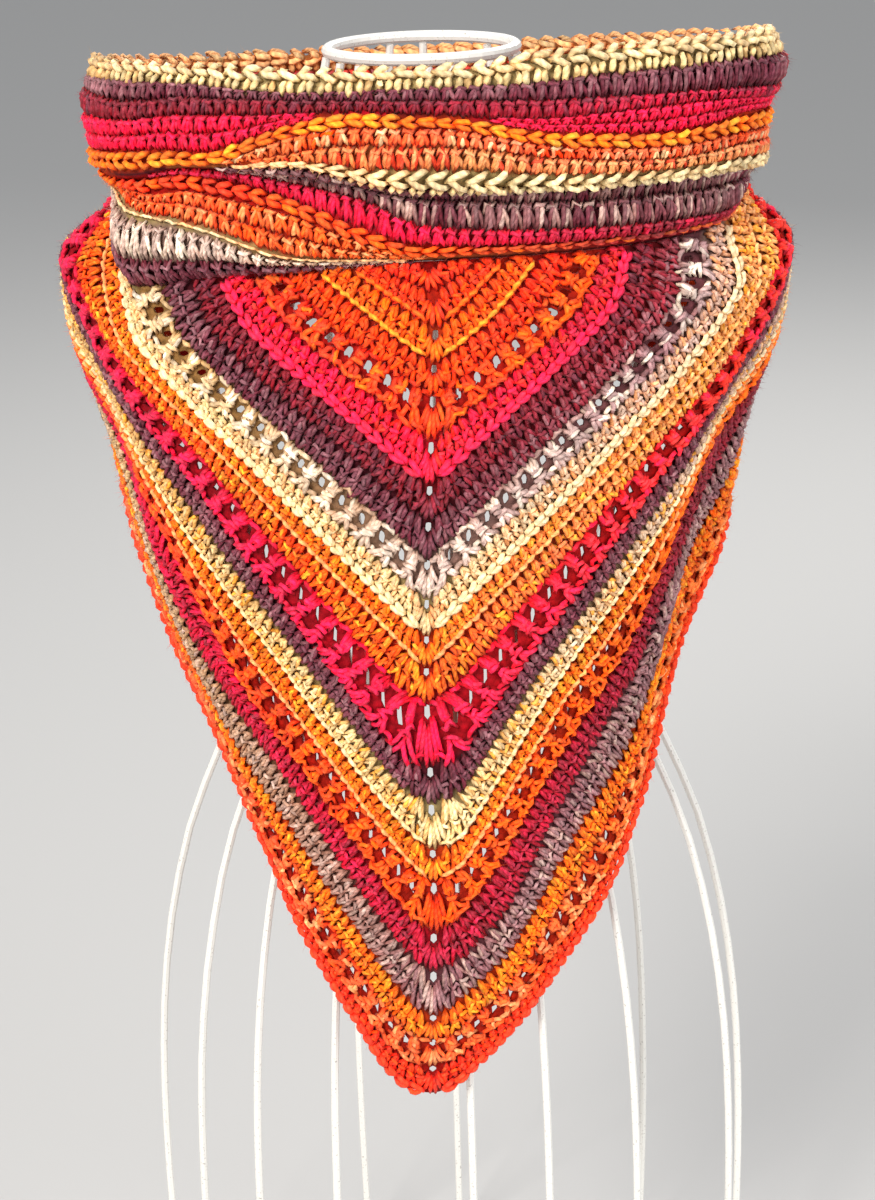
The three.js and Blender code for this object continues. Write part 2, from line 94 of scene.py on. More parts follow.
# How much higher some lines lie than their bow, at azimuths round the form: the rows swing up at the sides.
LIFT = {
    "az": [-180, -150, -125, -100, -84, -72, -62, -56, -50, -44, -36, -27, -18, -8, 0, 8, 18, 27, 36, 44,
           50, 56, 62, 72, 84, 100, 125, 150, 180],
    "line_13": [0, 0, 0, 0, 0, 2, 5, 4, 0, -3, -9, -12, -13, -15, 0, -15, -13, -12, -11, -5, -2, 2, 4, 2,
                0, 0, 0, 0, 0],
    "line_15": [0, 0, 0, 22, 38, 36, 33, 24, 10, 0, -10, -16, -19, -9, 0, -16, -19, -14, -10, 0, 14, 35,
                43, 44, 40, 22, 0, 0, 0],
    "line_17": [0, 0, 8, 64, 84, 66, 51, 38, 10, -15, -28, -27, -21, -10, 0, -11, -20, -20, -17, -8, 18,
                60, 70, 76, 86, 64, 8, 0, 0],
    "line_18": [0, 0, 20, 80, 90, 62, 26, -2, -17, -26, -26, -25, -19, -7, 0, -13, -26, -24, -22, -15, -6,
                28, 48, 72, 94, 80, 20, 0, 0],
    "line_19": [0, 0, 52, 96, 92, 56, 14, -10, -18, -20, -19, -17, -10, -4, 0, -6, -18, -17, -18, -18,
                -15, -4, 40, 68, 98, 96, 52, 0, 0],
    "line_22": [0, 50, 96, 114, 104, 68, 40, 28, 18, 13, 5, 3, 2, -3, 0, 0, -2, -1, -2, 0, 6, 11, 22, 66,
                106, 114, 96, 50, 0],
}
LIFT_LINES = [11, 13, 15, 17, 18, 19, 22, 23]  # none at the first and last

# Profile of the neck tube at each azimuth, rim to neckline: outward and height of each point.
PROFILE = ["rim", "upper", "lower", "fold", "tuck", "inner", "pouch", "foot", "neck"]
NECK_AZ = [-180, -130, -90, -72, -55, -40, -22, 0, 30, 60, 78, 90, 130, 180]
NECK_OUT = {
    "rim": [-2, -4, -6, -5, -3, -3, -3, -3, -2, 1, 3, 3, 1, -2],
    "upper": [2, 0, 0, 1, 3, 3.5, 3, 2, 3, 6, 10, 10, 5, 2],
    "lower": [3, 2, -1.5, 0, 4.5, 6, 6.5, 4, 4, 4, 4, 2.5, 4, 3],
    "fold": [1.5, 0, -3.5, -0.5, 5, 6, 6, 3.2, 3.5, 4, 3, 1.5, 2, 1.5],
    "tuck": [-3, -4.2, -6.5, -4.5, 0, 0, -0.5, -2.5, -2, -1.5, -2, -2.6, -2.6, -3],
    "inner": [-5.5, -6.5, -8.4, -6, 1, -0.5, -2.5, -4, -3.5, -2.8, -3.6, -4.8, -5.2, -5.5],
    "pouch": [-7.2, -8.2, -9.6, -6.4, 9, 7, 3, 0, 0, 0, -4.4, -6.2, -7, -7.2],
    "foot": [-8.3, -9.2, -10.2, -7.4, 11.5, 7, 1.5, -1.8, -1.5, -1, -5, -7, -8.2, -8.3],
    "neck": [-9, -9.8, -10.5, -9.5, 5, -2, -7, -8, -8, -6, -6, -7.5, -8.8, -9],
}
NECK_Z = {
    "rim": [655, 658, 665, 667, 668, 668, 667.5, 667.5, 673, 672.5, 671, 669, 662, 655],
    "upper": [642, 645, 650, 651, 653, 655, 655, 654, 658, 659, 657, 656, 650, 642],
    "lower": [628, 630, 633, 635, 638, 643, 643, 638, 639, 640, 638, 637, 632, 628],
    "fold": [614, 617, 621, 622.5, 625.5, 631.5, 632, 624, 623, 622.5, 619.5, 618, 616, 614],
    "tuck": [611, 613.5, 616.5, 618, 621.5, 627.5, 628, 620.5, 619.5, 618.5, 615.5, 614, 612.5, 611],
    "inner": [609, 611, 614, 614.5, 614.5, 619, 619, 614.5, 613, 612.5, 612, 611.7, 610.4, 609],
    "pouch": [607.2, 609, 611.8, 610.5, 603.5, 605, 605.5, 605, 605, 605.5, 609, 609.7, 608.6, 607.2],
    "foot": [605.5, 607, 609.8, 606, 591.5, 592.5, 593.5, 596.5, 597.5, 599, 606, 608, 606.8, 605.5],
    "neck": [603.5, 605, 607.5, 601, 577.5, 583, 587.5, 590, 590.5, 592.5, 602.5, 606, 604.8, 603.5],
}


def smooth_line(xs, ys):
    """A smooth line through the points, which never overshoots. Gives a function of x."""
    xs = np.array(xs, float)
    ys = np.array(ys, float)
    rise = np.diff(ys) / np.diff(xs)
    before = np.concatenate([rise[:1], rise])
    after = np.concatenate([rise, rise[-1:]])
    same = before * after > 0
    total = np.where(same, before + after, 1)
    slope = np.where(same, 2 * before * after / total, 0)

    def value(x):
        x = np.asarray(x, float)
        i = np.searchsorted(xs[1:-1], x, side="left")
        h = xs[i + 1] - xs[i]
        t = np.clip((x - xs[i]) / h, 0, 1)
        s = t * t * (3 - 2 * t)
        a = t * (1 - t) ** 2
        b = t * t * (t - 1)
        return ys[i] * (1 - s) + ys[i + 1] * s + h * (a * slope[i] + b * slope[i + 1])

    return value


drape_of = {name: smooth_line(DRAPE["z"], DRAPE[name]) for name in ("centre", "width", "front", "back")}
line_of = {name: smooth_line(LINES["row"], LINES[name])
           for name in ("end", "spine", "swell", "lean", "round")}
lift_of = [smooth_line(LIFT["az"], column) for name, column in LIFT.items() if name != "az"]
out_of = {name: smooth_line(NECK_AZ, NECK_OUT[name]) for name in PROFILE}
high_of = {name: smooth_line(NECK_AZ, NECK_Z[name]) for name in PROFILE}


def oval(az, width, front, back, z):
    a = np.radians(az)
    depth = np.where(np.cos(a) > 0, front, back)
    return np.stack(np.broadcast_arrays(width * np.sin(a), -depth * np.cos(a), z), -1)


def outward(az):
    a = np.radians(az)
    depth = np.where(np.cos(a) > 0, NECK["front"], NECK["back"])
    way = np.stack([np.sin(a) / NECK["width"], -np.cos(a) / depth, np.zeros_like(a)], -1)
    return unit(way)


def unit(v):
    return v / np.maximum(np.linalg.norm(v, axis=-1, keepdims=True), 1e-9)


def cubic(p0, p1, p2, p3, t):
    """A smooth curve from p1 to p2, with its neighbours p0 and p3 to aim it."""
    t0 = (p2 - p0) / 2
    t1 = (p3 - p1) / 2
    return p1 + t0 * t + (3 * (p2 - p1) - 2 * t0 - t1) * t**2 + (2 * (p1 - p2) + t0 + t1) * t**3


def neck_point(az, out, z):
    return oval(az, NECK["width"], NECK["front"], NECK["back"], z) + outward(az) * out[..., None]


def arc_length(line):
    """Distance along a line of points, from its first."""
    return np.concatenate([[0], np.cumsum(np.linalg.norm(np.diff(line, axis=0), axis=1))])


def skin(surface, across, down):
    """Points on the middle of a wall, and the ways out of it there."""
    base = surface(across, down, 0 * down)
    return base, unit(surface(across, down, 0 * down + 1) - base)


def round_az(az):
    """An azimuth brought to -180 to 180."""
    return (np.asarray(az, float) + 180) % 360 - 180


def neck_line(az, place):
    """A point of the neck tube's wall: place runs from 0 at the rim to 1 at the neckline."""
    az = round_az(az)
    place = np.clip(place, 0, 1) + 0 * az
    points = [neck_point(az, out_of[n](az), high_of[n](az)) for n in PROFILE]
    points = np.stack([2 * points[0] - points[1], *points, 2 * points[-1] - points[-2]])
    last = len(PROFILE) - 1
    at = place * last
    i = np.minimum(at.astype(int), last - 1)
    t = (at - i)[..., None]
    return cubic(*(np.take_along_axis(points, (i + k)[None, ..., None], 0)[0] for k in range(4)), t)


def neck_surface(az, place, out):
    """Points of the neck tube at a distance out from the middle of its wall."""
    az, place, out = np.broadcast_arrays(az, place, out)
    d = 0.02
    low = neck_line(az, np.minimum(place + d, 1))
    high = neck_line(az, np.maximum(place - d, 0))
    side = outward(round_az(az))
    level = np.stack([-side[..., 1], side[..., 0], 0 * side[..., 0]], -1)
    normal = -unit(np.cross(level, low - high))
    beyond = np.minimum(place, 0)[..., None]  # above the rim the wall goes straight on up
    return neck_line(az, place) + normal * out[..., None] - beyond * np.array([0, 0, 100.0])


def row_height(row, az):
    end = line_of["end"](row)
    blunt = line_of["round"](row)
    t = (np.sqrt(az**2 + blunt**2) - blunt) / (np.sqrt(end**2 + blunt**2) - blunt)
    spine = line_of["spine"](row)
    edge = np.where(az < 0, -end, end)
    top = high_of["neck"](edge) - SEAM / 2
    bow = line_of["swell"](row) * np.sin(np.pi * t) + line_of["lean"](row) * np.sin(2 * np.pi * t)
    lift = 0
    for k, line in enumerate(LIFT_LINES[1:-1], 1):
        below = (row - LIFT_LINES[k - 1]) / (line - LIFT_LINES[k - 1])
        above = (LIFT_LINES[k + 1] - row) / (LIFT_LINES[k + 1] - line)
        lift = lift + np.clip(np.minimum(below, above), 0, 1) * lift_of[k - 1](az)
    return spine + (top - spine) * (t + bow) + lift * np.clip((1 - t) / END_EASE, 0, 1)


def drape_line(row, along):
    """A point of the triangle's wall. along runs from -1 at the picture's left to 1 at its right."""
    az = along * line_of["end"](row)
    z = row_height(row, az)
    edge_z = high_of["neck"](az)
    top = neck_point(az, out_of["neck"](az), z)
    low = oval(az, drape_of["width"](z), drape_of["front"](z), drape_of["back"](z), z)
    low[..., 0] += drape_of["centre"](z)
    down = np.clip((edge_z - z) / NECKLINE_EASE, 0, 1)
    blend = down * down * (3 - 2 * down)
    point = top + (low - top) * blend[..., None]
    out = 0
    for fold_az, fold_z, wide, tall, far in zip(*FOLDS.values()):
        out = out + far * np.exp(-(((az - fold_az) / wide) ** 2) - ((z - fold_z) / tall) ** 2)
    point = point + outward(az) * (out * blend)[..., None]
    skew = SKEW["top"] - SKEW["fall"] * (SKEW["from"] - z) / SKEW["over"]
    point[..., 0] += skew * blend * np.exp(-((az / SKEW["wide"]) ** 2))
    return point


def drape_surface(row, along, out):
    row, along, out = np.broadcast_arrays(row, along, out)
    row = np.clip(row, 0, ROWS)
    along = np.clip(along, -1, 1)
    d = 0.004
    up = drape_line(np.maximum(0, row - 0.1), along)
    down = drape_line(np.minimum(ROWS, row + 0.1), along)
    left = drape_line(row, along - d)
    right = drape_line(row, along + d)
    normal = unit(np.cross(right - left, up - down))
    return drape_line(row, along) + normal * out[..., None]


def to_world(points):
    return (points + np.array([0, CENTRE_Y, 0])) * MM


# Colours of the yarn

YARN = {
    "cream": (0.95, 0.86, 0.66),
    "white": (1.0, 0.94, 0.86),
    "tan": (0.86, 0.71, 0.50),
    "khaki": (0.74, 0.59, 0.42),
    "yellow": (1.0, 0.70, 0.20),
    "peach": (0.98, 0.70, 0.46),
    "orange": (1.0, 0.46, 0.09),
    "red_orange": (0.98, 0.34, 0.07),
    "coral": (0.96, 0.24, 0.13),
    "pink": (0.98, 0.13, 0.33),
    "raspberry": (0.84, 0.11, 0.28),
    "maroon": (0.58, 0.09, 0.18),
    "plum": (0.42, 0.15, 0.22),
    "grey": (0.80, 0.68, 0.63),
    "mauve": (0.59, 0.40, 0.42),
}


def linear(name):
    c = np.array(YARN[name], float)
    return np.where(c <= 0.04045, c / 12.92, ((c + 0.055) / 1.055) ** 2.4)


# Rows of the triangle, from the centre out. kind: how it is worked. edge: what runs along its outer line, and
# edge_colour its yarn. Then the yarn at the spine and at the far end of each arm, and its flecks.
ROW_COLUMNS = ["kind", "edge", "edge_colour", "spine", "left", "right", "fleck"]
ROW_TABLE = [
    ["solid", None, None, "coral", "coral", "coral", "red_orange"],
    ["solid", "line", "orange", "red_orange", "red_orange", "red_orange", "coral"],
    ["solid", "line", "yellow", "orange", "orange", "red_orange", "orange"],
    ["solid", None, None, "red_orange", "red_orange", "coral", "red_orange"],
    ["mesh", None, None, "coral", "coral", "red_orange", "orange"],
    ["solid", "chain", "pink", "pink", "pink", "raspberry", "coral"],
    ["solid", None, None, "maroon", "maroon", "maroon", "plum"],
    ["solid", None, None, "plum", "plum", "maroon", "mauve"],
    ["cluster", None, None, "grey", "tan", "mauve", "white"],
    ["solid", "chain", "cream", "cream", "cream", "grey", "peach"],
    ["solid", "line", "peach", "orange", "orange", "peach", "yellow"],
    ["solid", None, None, "red_orange", "red_orange", "peach", "yellow"],
    ["cluster", None, None, "pink", "raspberry", "coral", "pink"],
    ["solid", None, None, "plum", "plum", "plum", "mauve"],
    ["solid", "line", "cream", "cream", "tan", "grey", "yellow"],
    ["solid", "line", "peach", "orange", "orange", "orange", "yellow"],
    ["mesh", None, None, "red_orange", "coral", "orange", "orange"],
    ["solid", None, None, "raspberry", "pink", "maroon", "maroon"],
    ["solid", None, None, "mauve", "tan", "mauve", "grey"],
    ["solid", None, None, "orange", "orange", "orange", "yellow"],
    ["mesh", None, None, "red_orange", "coral", "orange", "peach"],
    ["solid", "chain", "coral", "coral", "coral", "red_orange", "red_orange"],
]
TRIANGLE_LOOK = [dict(zip(ROW_COLUMNS, row)) for row in ROW_TABLE]

# Rounds of the neck tube, from the rim down: how each is worked and in how many lines, its yarn at five
# places, its flecks, and where it ends on the profile at the azimuths of ROUND_AZ.
ROUND_AZ = [-180, -78, -55, -38, -22, -11, 0, 22, 45, 70, 180]
ROUND_COLUMNS = ["kind", "lines", "side", "near", "front", "right", "back", "fleck", "ends"]
ROUND_TABLE = [
    ["rim", 1, "tan", "cream", "cream", "cream", "peach", "tan",
     [0.065, 0.045, 0.045, 0.05, 0.068, 0.063, 0.055, 0.078, 0.075, 0.078, 0.065]],
    ["low", 1, "mauve", "plum", "plum", "plum", "coral", "mauve",
     [0.135, 0.09, 0.108, 0.096, 0.1, 0.098, 0.1, 0.138, 0.155, 0.17, 0.135]],
    ["low", 1, "maroon", "maroon", "maroon", "raspberry", "orange", "plum",
     [0.185, 0.165, 0.17, 0.16, 0.15, 0.135, 0.142, 0.185, 0.185, 0.2, 0.185]],
    ["low", 2, "pink", "pink", "pink", "pink", "orange", "raspberry",
     [0.22, 0.28, 0.275, 0.31, 0.2, 0.14, 0.147, 0.225, 0.255, 0.235, 0.22]],
    ["chain", 1, "orange", "orange", "orange", "orange", "orange", "yellow",
     [0.26, 0.36, 0.36, 0.37, 0.25, 0.19, 0.185, 0.265, 0.295, 0.29, 0.26]],
    ["low", 1, "orange", "orange", "red_orange", "red_orange", "orange", "cream",
     [0.31, 0.363, 0.363, 0.373, 0.31, 0.25, 0.24, 0.3, 0.33, 0.32, 0.31]],
    ["low", 1, "orange", "orange", "peach", "peach", "orange", "coral",
     [0.345, 0.366, 0.366, 0.376, 0.345, 0.335, 0.315, 0.35, 0.37, 0.365, 0.345]],
    ["rim", 1, "orange", "peach", "cream", "cream", "cream", "tan",
     [0.42, 0.38, 0.38, 0.39, 0.375, 0.41, 0.44, 0.47, 0.47, 0.45, 0.42]],
    ["low", 2, "orange", "plum", "plum", "plum", "plum", "grey",
     [0.7, 0.385, 0.4, 0.41, 0.56, 0.62, 0.735, 0.79, 0.82, 0.85, 0.7]],
    ["low", 1, "orange", "raspberry", "pink", "maroon", "maroon", "raspberry",
     [0.85, 0.39, 0.41, 0.52, 0.65, 0.735, 0.845, 0.88, 0.9, 0.92, 0.85]],
    ["chain", 1, "orange", "coral", "red_orange", "maroon", "orange", "orange",
     [0.9, 0.45, 0.6, 0.64, 0.7, 0.8, 0.92, 0.93, 0.94, 0.95, 0.9]],
    ["low", 2, "orange", "red_orange", "orange", "raspberry", "orange", "peach",
     [0.95, 0.6, 0.68, 0.735, 0.85, 0.9, 0.955, 0.96, 0.96, 0.96, 0.95]],
    ["line", 1, "cream", "cream", "peach", "raspberry", "cream", "peach",
     [0.97, 0.7, 0.72, 0.77, 0.89, 0.93, 0.97, 0.975, 0.975, 0.975, 0.97]],
    ["low", 1, "grey", "grey", "tan", "maroon", "grey", "white",
     [0.985, 0.85, 0.88, 0.875, 0.93, 0.96, 0.985, 0.99, 0.99, 0.99, 0.985]],
    ["low", 1, "plum", "plum", "plum", "plum", "plum", "mauve",
     [1, 1, 1, 1, 1, 1, 1, 1, 1, 1, 1]],
]
NECK_LOOK = [dict(zip(ROUND_COLUMNS, row)) for row in ROUND_TABLE]
for look in NECK_LOOK:
    look["end"] = smooth_line(ROUND_AZ, look["ends"])


FLECKS = {"slow": 0.25, "full": 0.15, "half": 0.36}  # most slow change, then chances of a fleck


def mixed(a, b, t):
    return a + (b - a) * np.asarray(t, float)[..., None]


def gap_shade(tone):
    """Painted shade between the strands: the same yarn made darker and richer, for the sheet under them."""
    return 0.5 * tone * (tone / tone.max(-1, keepdims=True)) ** 0.6


def ripple(x, seed):
    """Smooth noise along a line, from -1 to 1."""
    phase = np.random.default_rng(seed).uniform(0, 2 * math.pi, 4)
    waves = [np.sin(x * k + p) for k, p in zip((1.0, 1.73, 2.9, 4.7), phase)]
    return (waves[0] + 0.8 * waves[1] + 0.6 * waves[2] + 0.4 * waves[3]) / 2.2


def triangle_colour(row, side, part, arc):
    """Colour of the yarn of a row: part runs from 0 at the spine to 1 at the end of the arm."""
    look = TRIANGLE_LOOK[row]
    far = linear(look["left"] if side < 0 else look["right"])
    base = mixed(linear(look["spine"]), far, np.clip(part * ARM_CHANGE, 0, 1))
    return with_flecks(base, look["fleck"], arc, row * 7 + side)


def with_flecks(base, fleck, arc, seed):
    """The yarn's slow change of shade, and a few strands in its second colour."""
    slow = 0.5 + 0.5 * ripple(arc / 14, seed + 100)
    base = mixed(base, linear(fleck), FLECKS["slow"] * slow)
    chance = rng.random(np.shape(arc))
    share = np.where(chance < FLECKS["full"], 0.8, np.where(chance < FLECKS["half"], 0.4, 0))
    base = mixed(base, linear(fleck), share)
    return base * (0.75 + 0.6 * rng.random(np.shape(arc)))[..., None]


# Stitches, as strands of yarn

# Strands of each stitch, each as its four points' across, down and out. across: stitch widths along the
# row. down: 0 at the row's inner line to 1 at its outer line. out: millimetres from the middle of the wall.
STITCHES = {
    "solid": [
        [[0.10, 0.26, 0.46, 0.58], [0.56, 0.34, 0.12, -0.03], [0.3, 1.8, 2.0, 0.5]],
        [[0.98, 0.86, 0.72, 0.62], [0.52, 0.32, 0.12, -0.02], [0.3, 1.5, 1.9, 0.5]],
        [[0.30, 0.50, 0.66, 0.74], [0.50, 0.38, 0.20, 0.02], [0.3, 2.2, 2.2, 0.4]],
        [[0.66, 0.46, 0.26, 0.12], [1.06, 0.86, 0.64, 0.44], [0.3, 1.9, 2.1, 0.6]],
        [[0.72, 0.88, 1.02, 1.12], [1.04, 0.84, 0.66, 0.46], [0.3, 1.6, 1.9, 0.6]],
        [[-0.10, 0.24, 0.58, 0.86], [0.42, 0.54, 0.47, 0.60], [0.4, 2.4, 2.4, 0.4]],
        [[0.48, 0.42, 0.52, 0.66], [1.02, 0.84, 0.70, 0.60], [0.2, 2.1, 2.2, 0.5]],
    ],
    "low": [
        [[0.10, 0.20, 0.36, 0.48], [1.08, 0.72, 0.36, 0.0], [0.2, 1.7, 2.1, 0.8]],
        [[0.40, 0.46, 0.56, 0.66], [1.05, 0.74, 0.40, 0.05], [0.2, 1.9, 2.2, 0.8]],
        [[0.98, 0.84, 0.66, 0.52], [1.02, 0.7, 0.38, 0.05], [0.2, 1.6, 2.0, 0.8]],
        [[-0.05, 0.25, 0.65, 1.02], [0.4, 0.16, 0.28, 0.02], [0.2, 2.2, 2.5, 0.4]],
    ],
    "chain": [
        [[-0.06, 0.28, 0.64, 1.04], [0.52, 0.36, 0.22, 0.20], [0.9, 2.6, 2.9, 0.6]],
        [[0.0, 0.34, 0.70, 1.1], [0.48, 0.64, 0.78, 0.80], [0.9, 2.5, 2.7, 0.5]],
    ],
    "line": [
        [[-0.12, 0.30, 0.72, 1.12], [0.56, 0.46, 0.54, 0.46], [0.9, 2.5, 2.6, 0.9]],
    ],
    "rim": [
        [[-0.04, 0.3, 0.68, 1.06], [0.38, 0.22, 0.08, 0.02], [0.8, 2.6, 2.9, 0.8]],
        [[0.0, 0.34, 0.72, 1.1], [0.30, 0.42, 0.52, 0.54], [0.9, 2.8, 3.1, 0.5]],
        [[0.22, 0.24, 0.28, 0.34], [1.06, 0.90, 0.76, 0.60], [0.3, 1.8, 2.0, 0.8]],
        [[0.66, 0.66, 0.70, 0.76], [1.08, 0.92, 0.76, 0.60], [0.3, 1.8, 2.0, 0.8]],
    ],
    "cluster": [
        [[0.30, 0.33, 0.40, 0.45], [-0.03, 0.16, 0.34, 0.52], [0.4, 1.7, 2.2, 1.2]],
        [[0.43, 0.43, 0.46, 0.48], [-0.03, 0.14, 0.30, 0.46], [0.4, 1.9, 2.4, 1.2]],
        [[0.57, 0.57, 0.54, 0.52], [-0.03, 0.14, 0.30, 0.46], [0.4, 1.9, 2.4, 1.2]],
        [[0.70, 0.67, 0.61, 0.56], [-0.03, 0.16, 0.34, 0.52], [0.4, 1.7, 2.2, 1.2]],
        [[0.26, 0.42, 0.58, 0.74], [0.36, 0.29, 0.31, 0.40], [0.5, 2.8, 2.9, 0.6]],
        [[0.24, 0.42, 0.58, 0.78], [0.52, 0.45, 0.47, 0.58], [0.5, 3.1, 3.1, 0.6]],
        [[0.27, 0.44, 0.60, 0.76], [0.67, 0.60, 0.63, 0.73], [0.5, 2.9, 3.0, 0.6]],
        [[0.46, 0.33, 0.20, 0.08], [0.60, 0.74, 0.90, 1.08], [1.4, 2.7, 2.5, 0.2]],
        [[0.50, 0.44, 0.38, 0.34], [0.62, 0.78, 0.94, 1.10], [1.4, 2.5, 2.2, 0.2]],
        [[0.54, 0.61, 0.67, 0.72], [0.62, 0.78, 0.92, 1.08], [1.4, 2.5, 2.2, 0.2]],
        [[0.56, 0.70, 0.83, 0.95], [0.60, 0.74, 0.88, 1.08], [1.4, 2.7, 2.5, 0.2]],
        [[-0.32, -0.10, 0.10, 0.32], [0.05, 0.00, 0.02, 0.06], [0.3, 1.8, 1.8, 0.3]],
        [[-0.22, -0.07, 0.08, 0.24], [0.90, 0.80, 0.82, 0.94], [0.3, 1.7, 1.8, 0.3]],
    ],
    "mesh": [
        [[0.34, 0.27, 0.35, 0.50], [-0.03, 0.16, 0.32, 0.46], [0.4, 1.9, 2.4, 1.2]],
        [[0.50, 0.56, 0.52, 0.40], [-0.02, 0.14, 0.30, 0.44], [0.4, 1.9, 2.4, 1.2]],
        [[0.70, 0.75, 0.67, 0.52], [-0.03, 0.18, 0.36, 0.50], [0.4, 1.9, 2.4, 1.2]],
        [[0.20, 0.40, 0.60, 0.82], [0.31, 0.22, 0.26, 0.39], [0.4, 2.8, 2.9, 0.6]],
        [[0.22, 0.43, 0.62, 0.80], [0.49, 0.41, 0.45, 0.57], [0.4, 2.9, 3.0, 0.6]],
        [[0.48, 0.34, 0.23, 0.12], [0.50, 0.64, 0.82, 1.02], [1.4, 2.5, 2.2, 0.2]],
        [[0.52, 0.50, 0.46, 0.42], [0.54, 0.70, 0.86, 1.04], [1.4, 2.4, 2.1, 0.2]],
        [[0.56, 0.68, 0.79, 0.88], [0.50, 0.64, 0.80, 1.02], [1.4, 2.5, 2.2, 0.2]],
        [[-0.20, 0.08, 0.36, 0.62], [0.85, 0.76, 0.86, 0.79], [0.3, 2.0, 2.6, 0.5]],
        [[0.30, 0.55, 0.82, 1.12], [0.95, 0.85, 0.92, 0.83], [0.4, 2.4, 2.3, 0.3]],
        [[-0.28, -0.06, 0.12, 0.30], [0.06, 0.00, 0.00, 0.05], [0.3, 1.8, 1.8, 0.3]],
    ],
}
YARN_RADIUS = {"solid": 0.98, "low": 1.06, "chain": 1.4, "line": 1.05, "rim": 1.5, "cluster": 1.15,
               "mesh": 1.15, "fan": 1.0}
STITCH_WIDTH = {"solid": 5.0, "chain": 5.8, "line": 5.0, "cluster": 11.5, "mesh": 10.5}
ROUND_STITCHES = {"low": 140, "solid": 140, "chain": 104, "line": 110, "rim": 94}
STEPS = {"chain": 4, "rim": 4, "cluster": 4}  # stretches of a strand's tube, else 3
SIDES = 4  # facets round it
FIBRE = {"thick": 0.08, "short": 1.6, "long": 5.0}  # a loose fibre, in millimetres


def spread(control, steps):
    """A smooth line through each strand's control points: (..., 4, 3) to (..., steps + 1, 3)."""
    before = 2 * control[..., :1, :] - control[..., 1:2, :]
    after = 2 * control[..., -1:, :] - control[..., -2:-1, :]
    p = np.concatenate([before, control, after], -2)
    out = []
    spans = control.shape[-2] - 1
    for k in range(steps + 1):
        at = spans * k / steps
        i = min(int(at), spans - 1)
        out.append(cubic(*(p[..., i + n, :] for n in range(4)), at - i))
    return np.stack(out, -2)


def stitch_lines(kind, count, jitter=0.05):
    """Control points of count stitches: (count, strands, 4, 3) as across, down, out."""
    strands = STITCHES[kind]
    one = np.array([np.stack(strand, -1) for strand in strands])
    every = np.repeat(one[None], count, 0)
    shift = rng.normal(0, 1, every.shape) * np.array([jitter, jitter, 0.22])
    lean = rng.normal(0, 0.05, (count, 1, 1))
    every = every + shift
    every[..., 0] += lean * (every[..., 1] - 0.5)
    return every


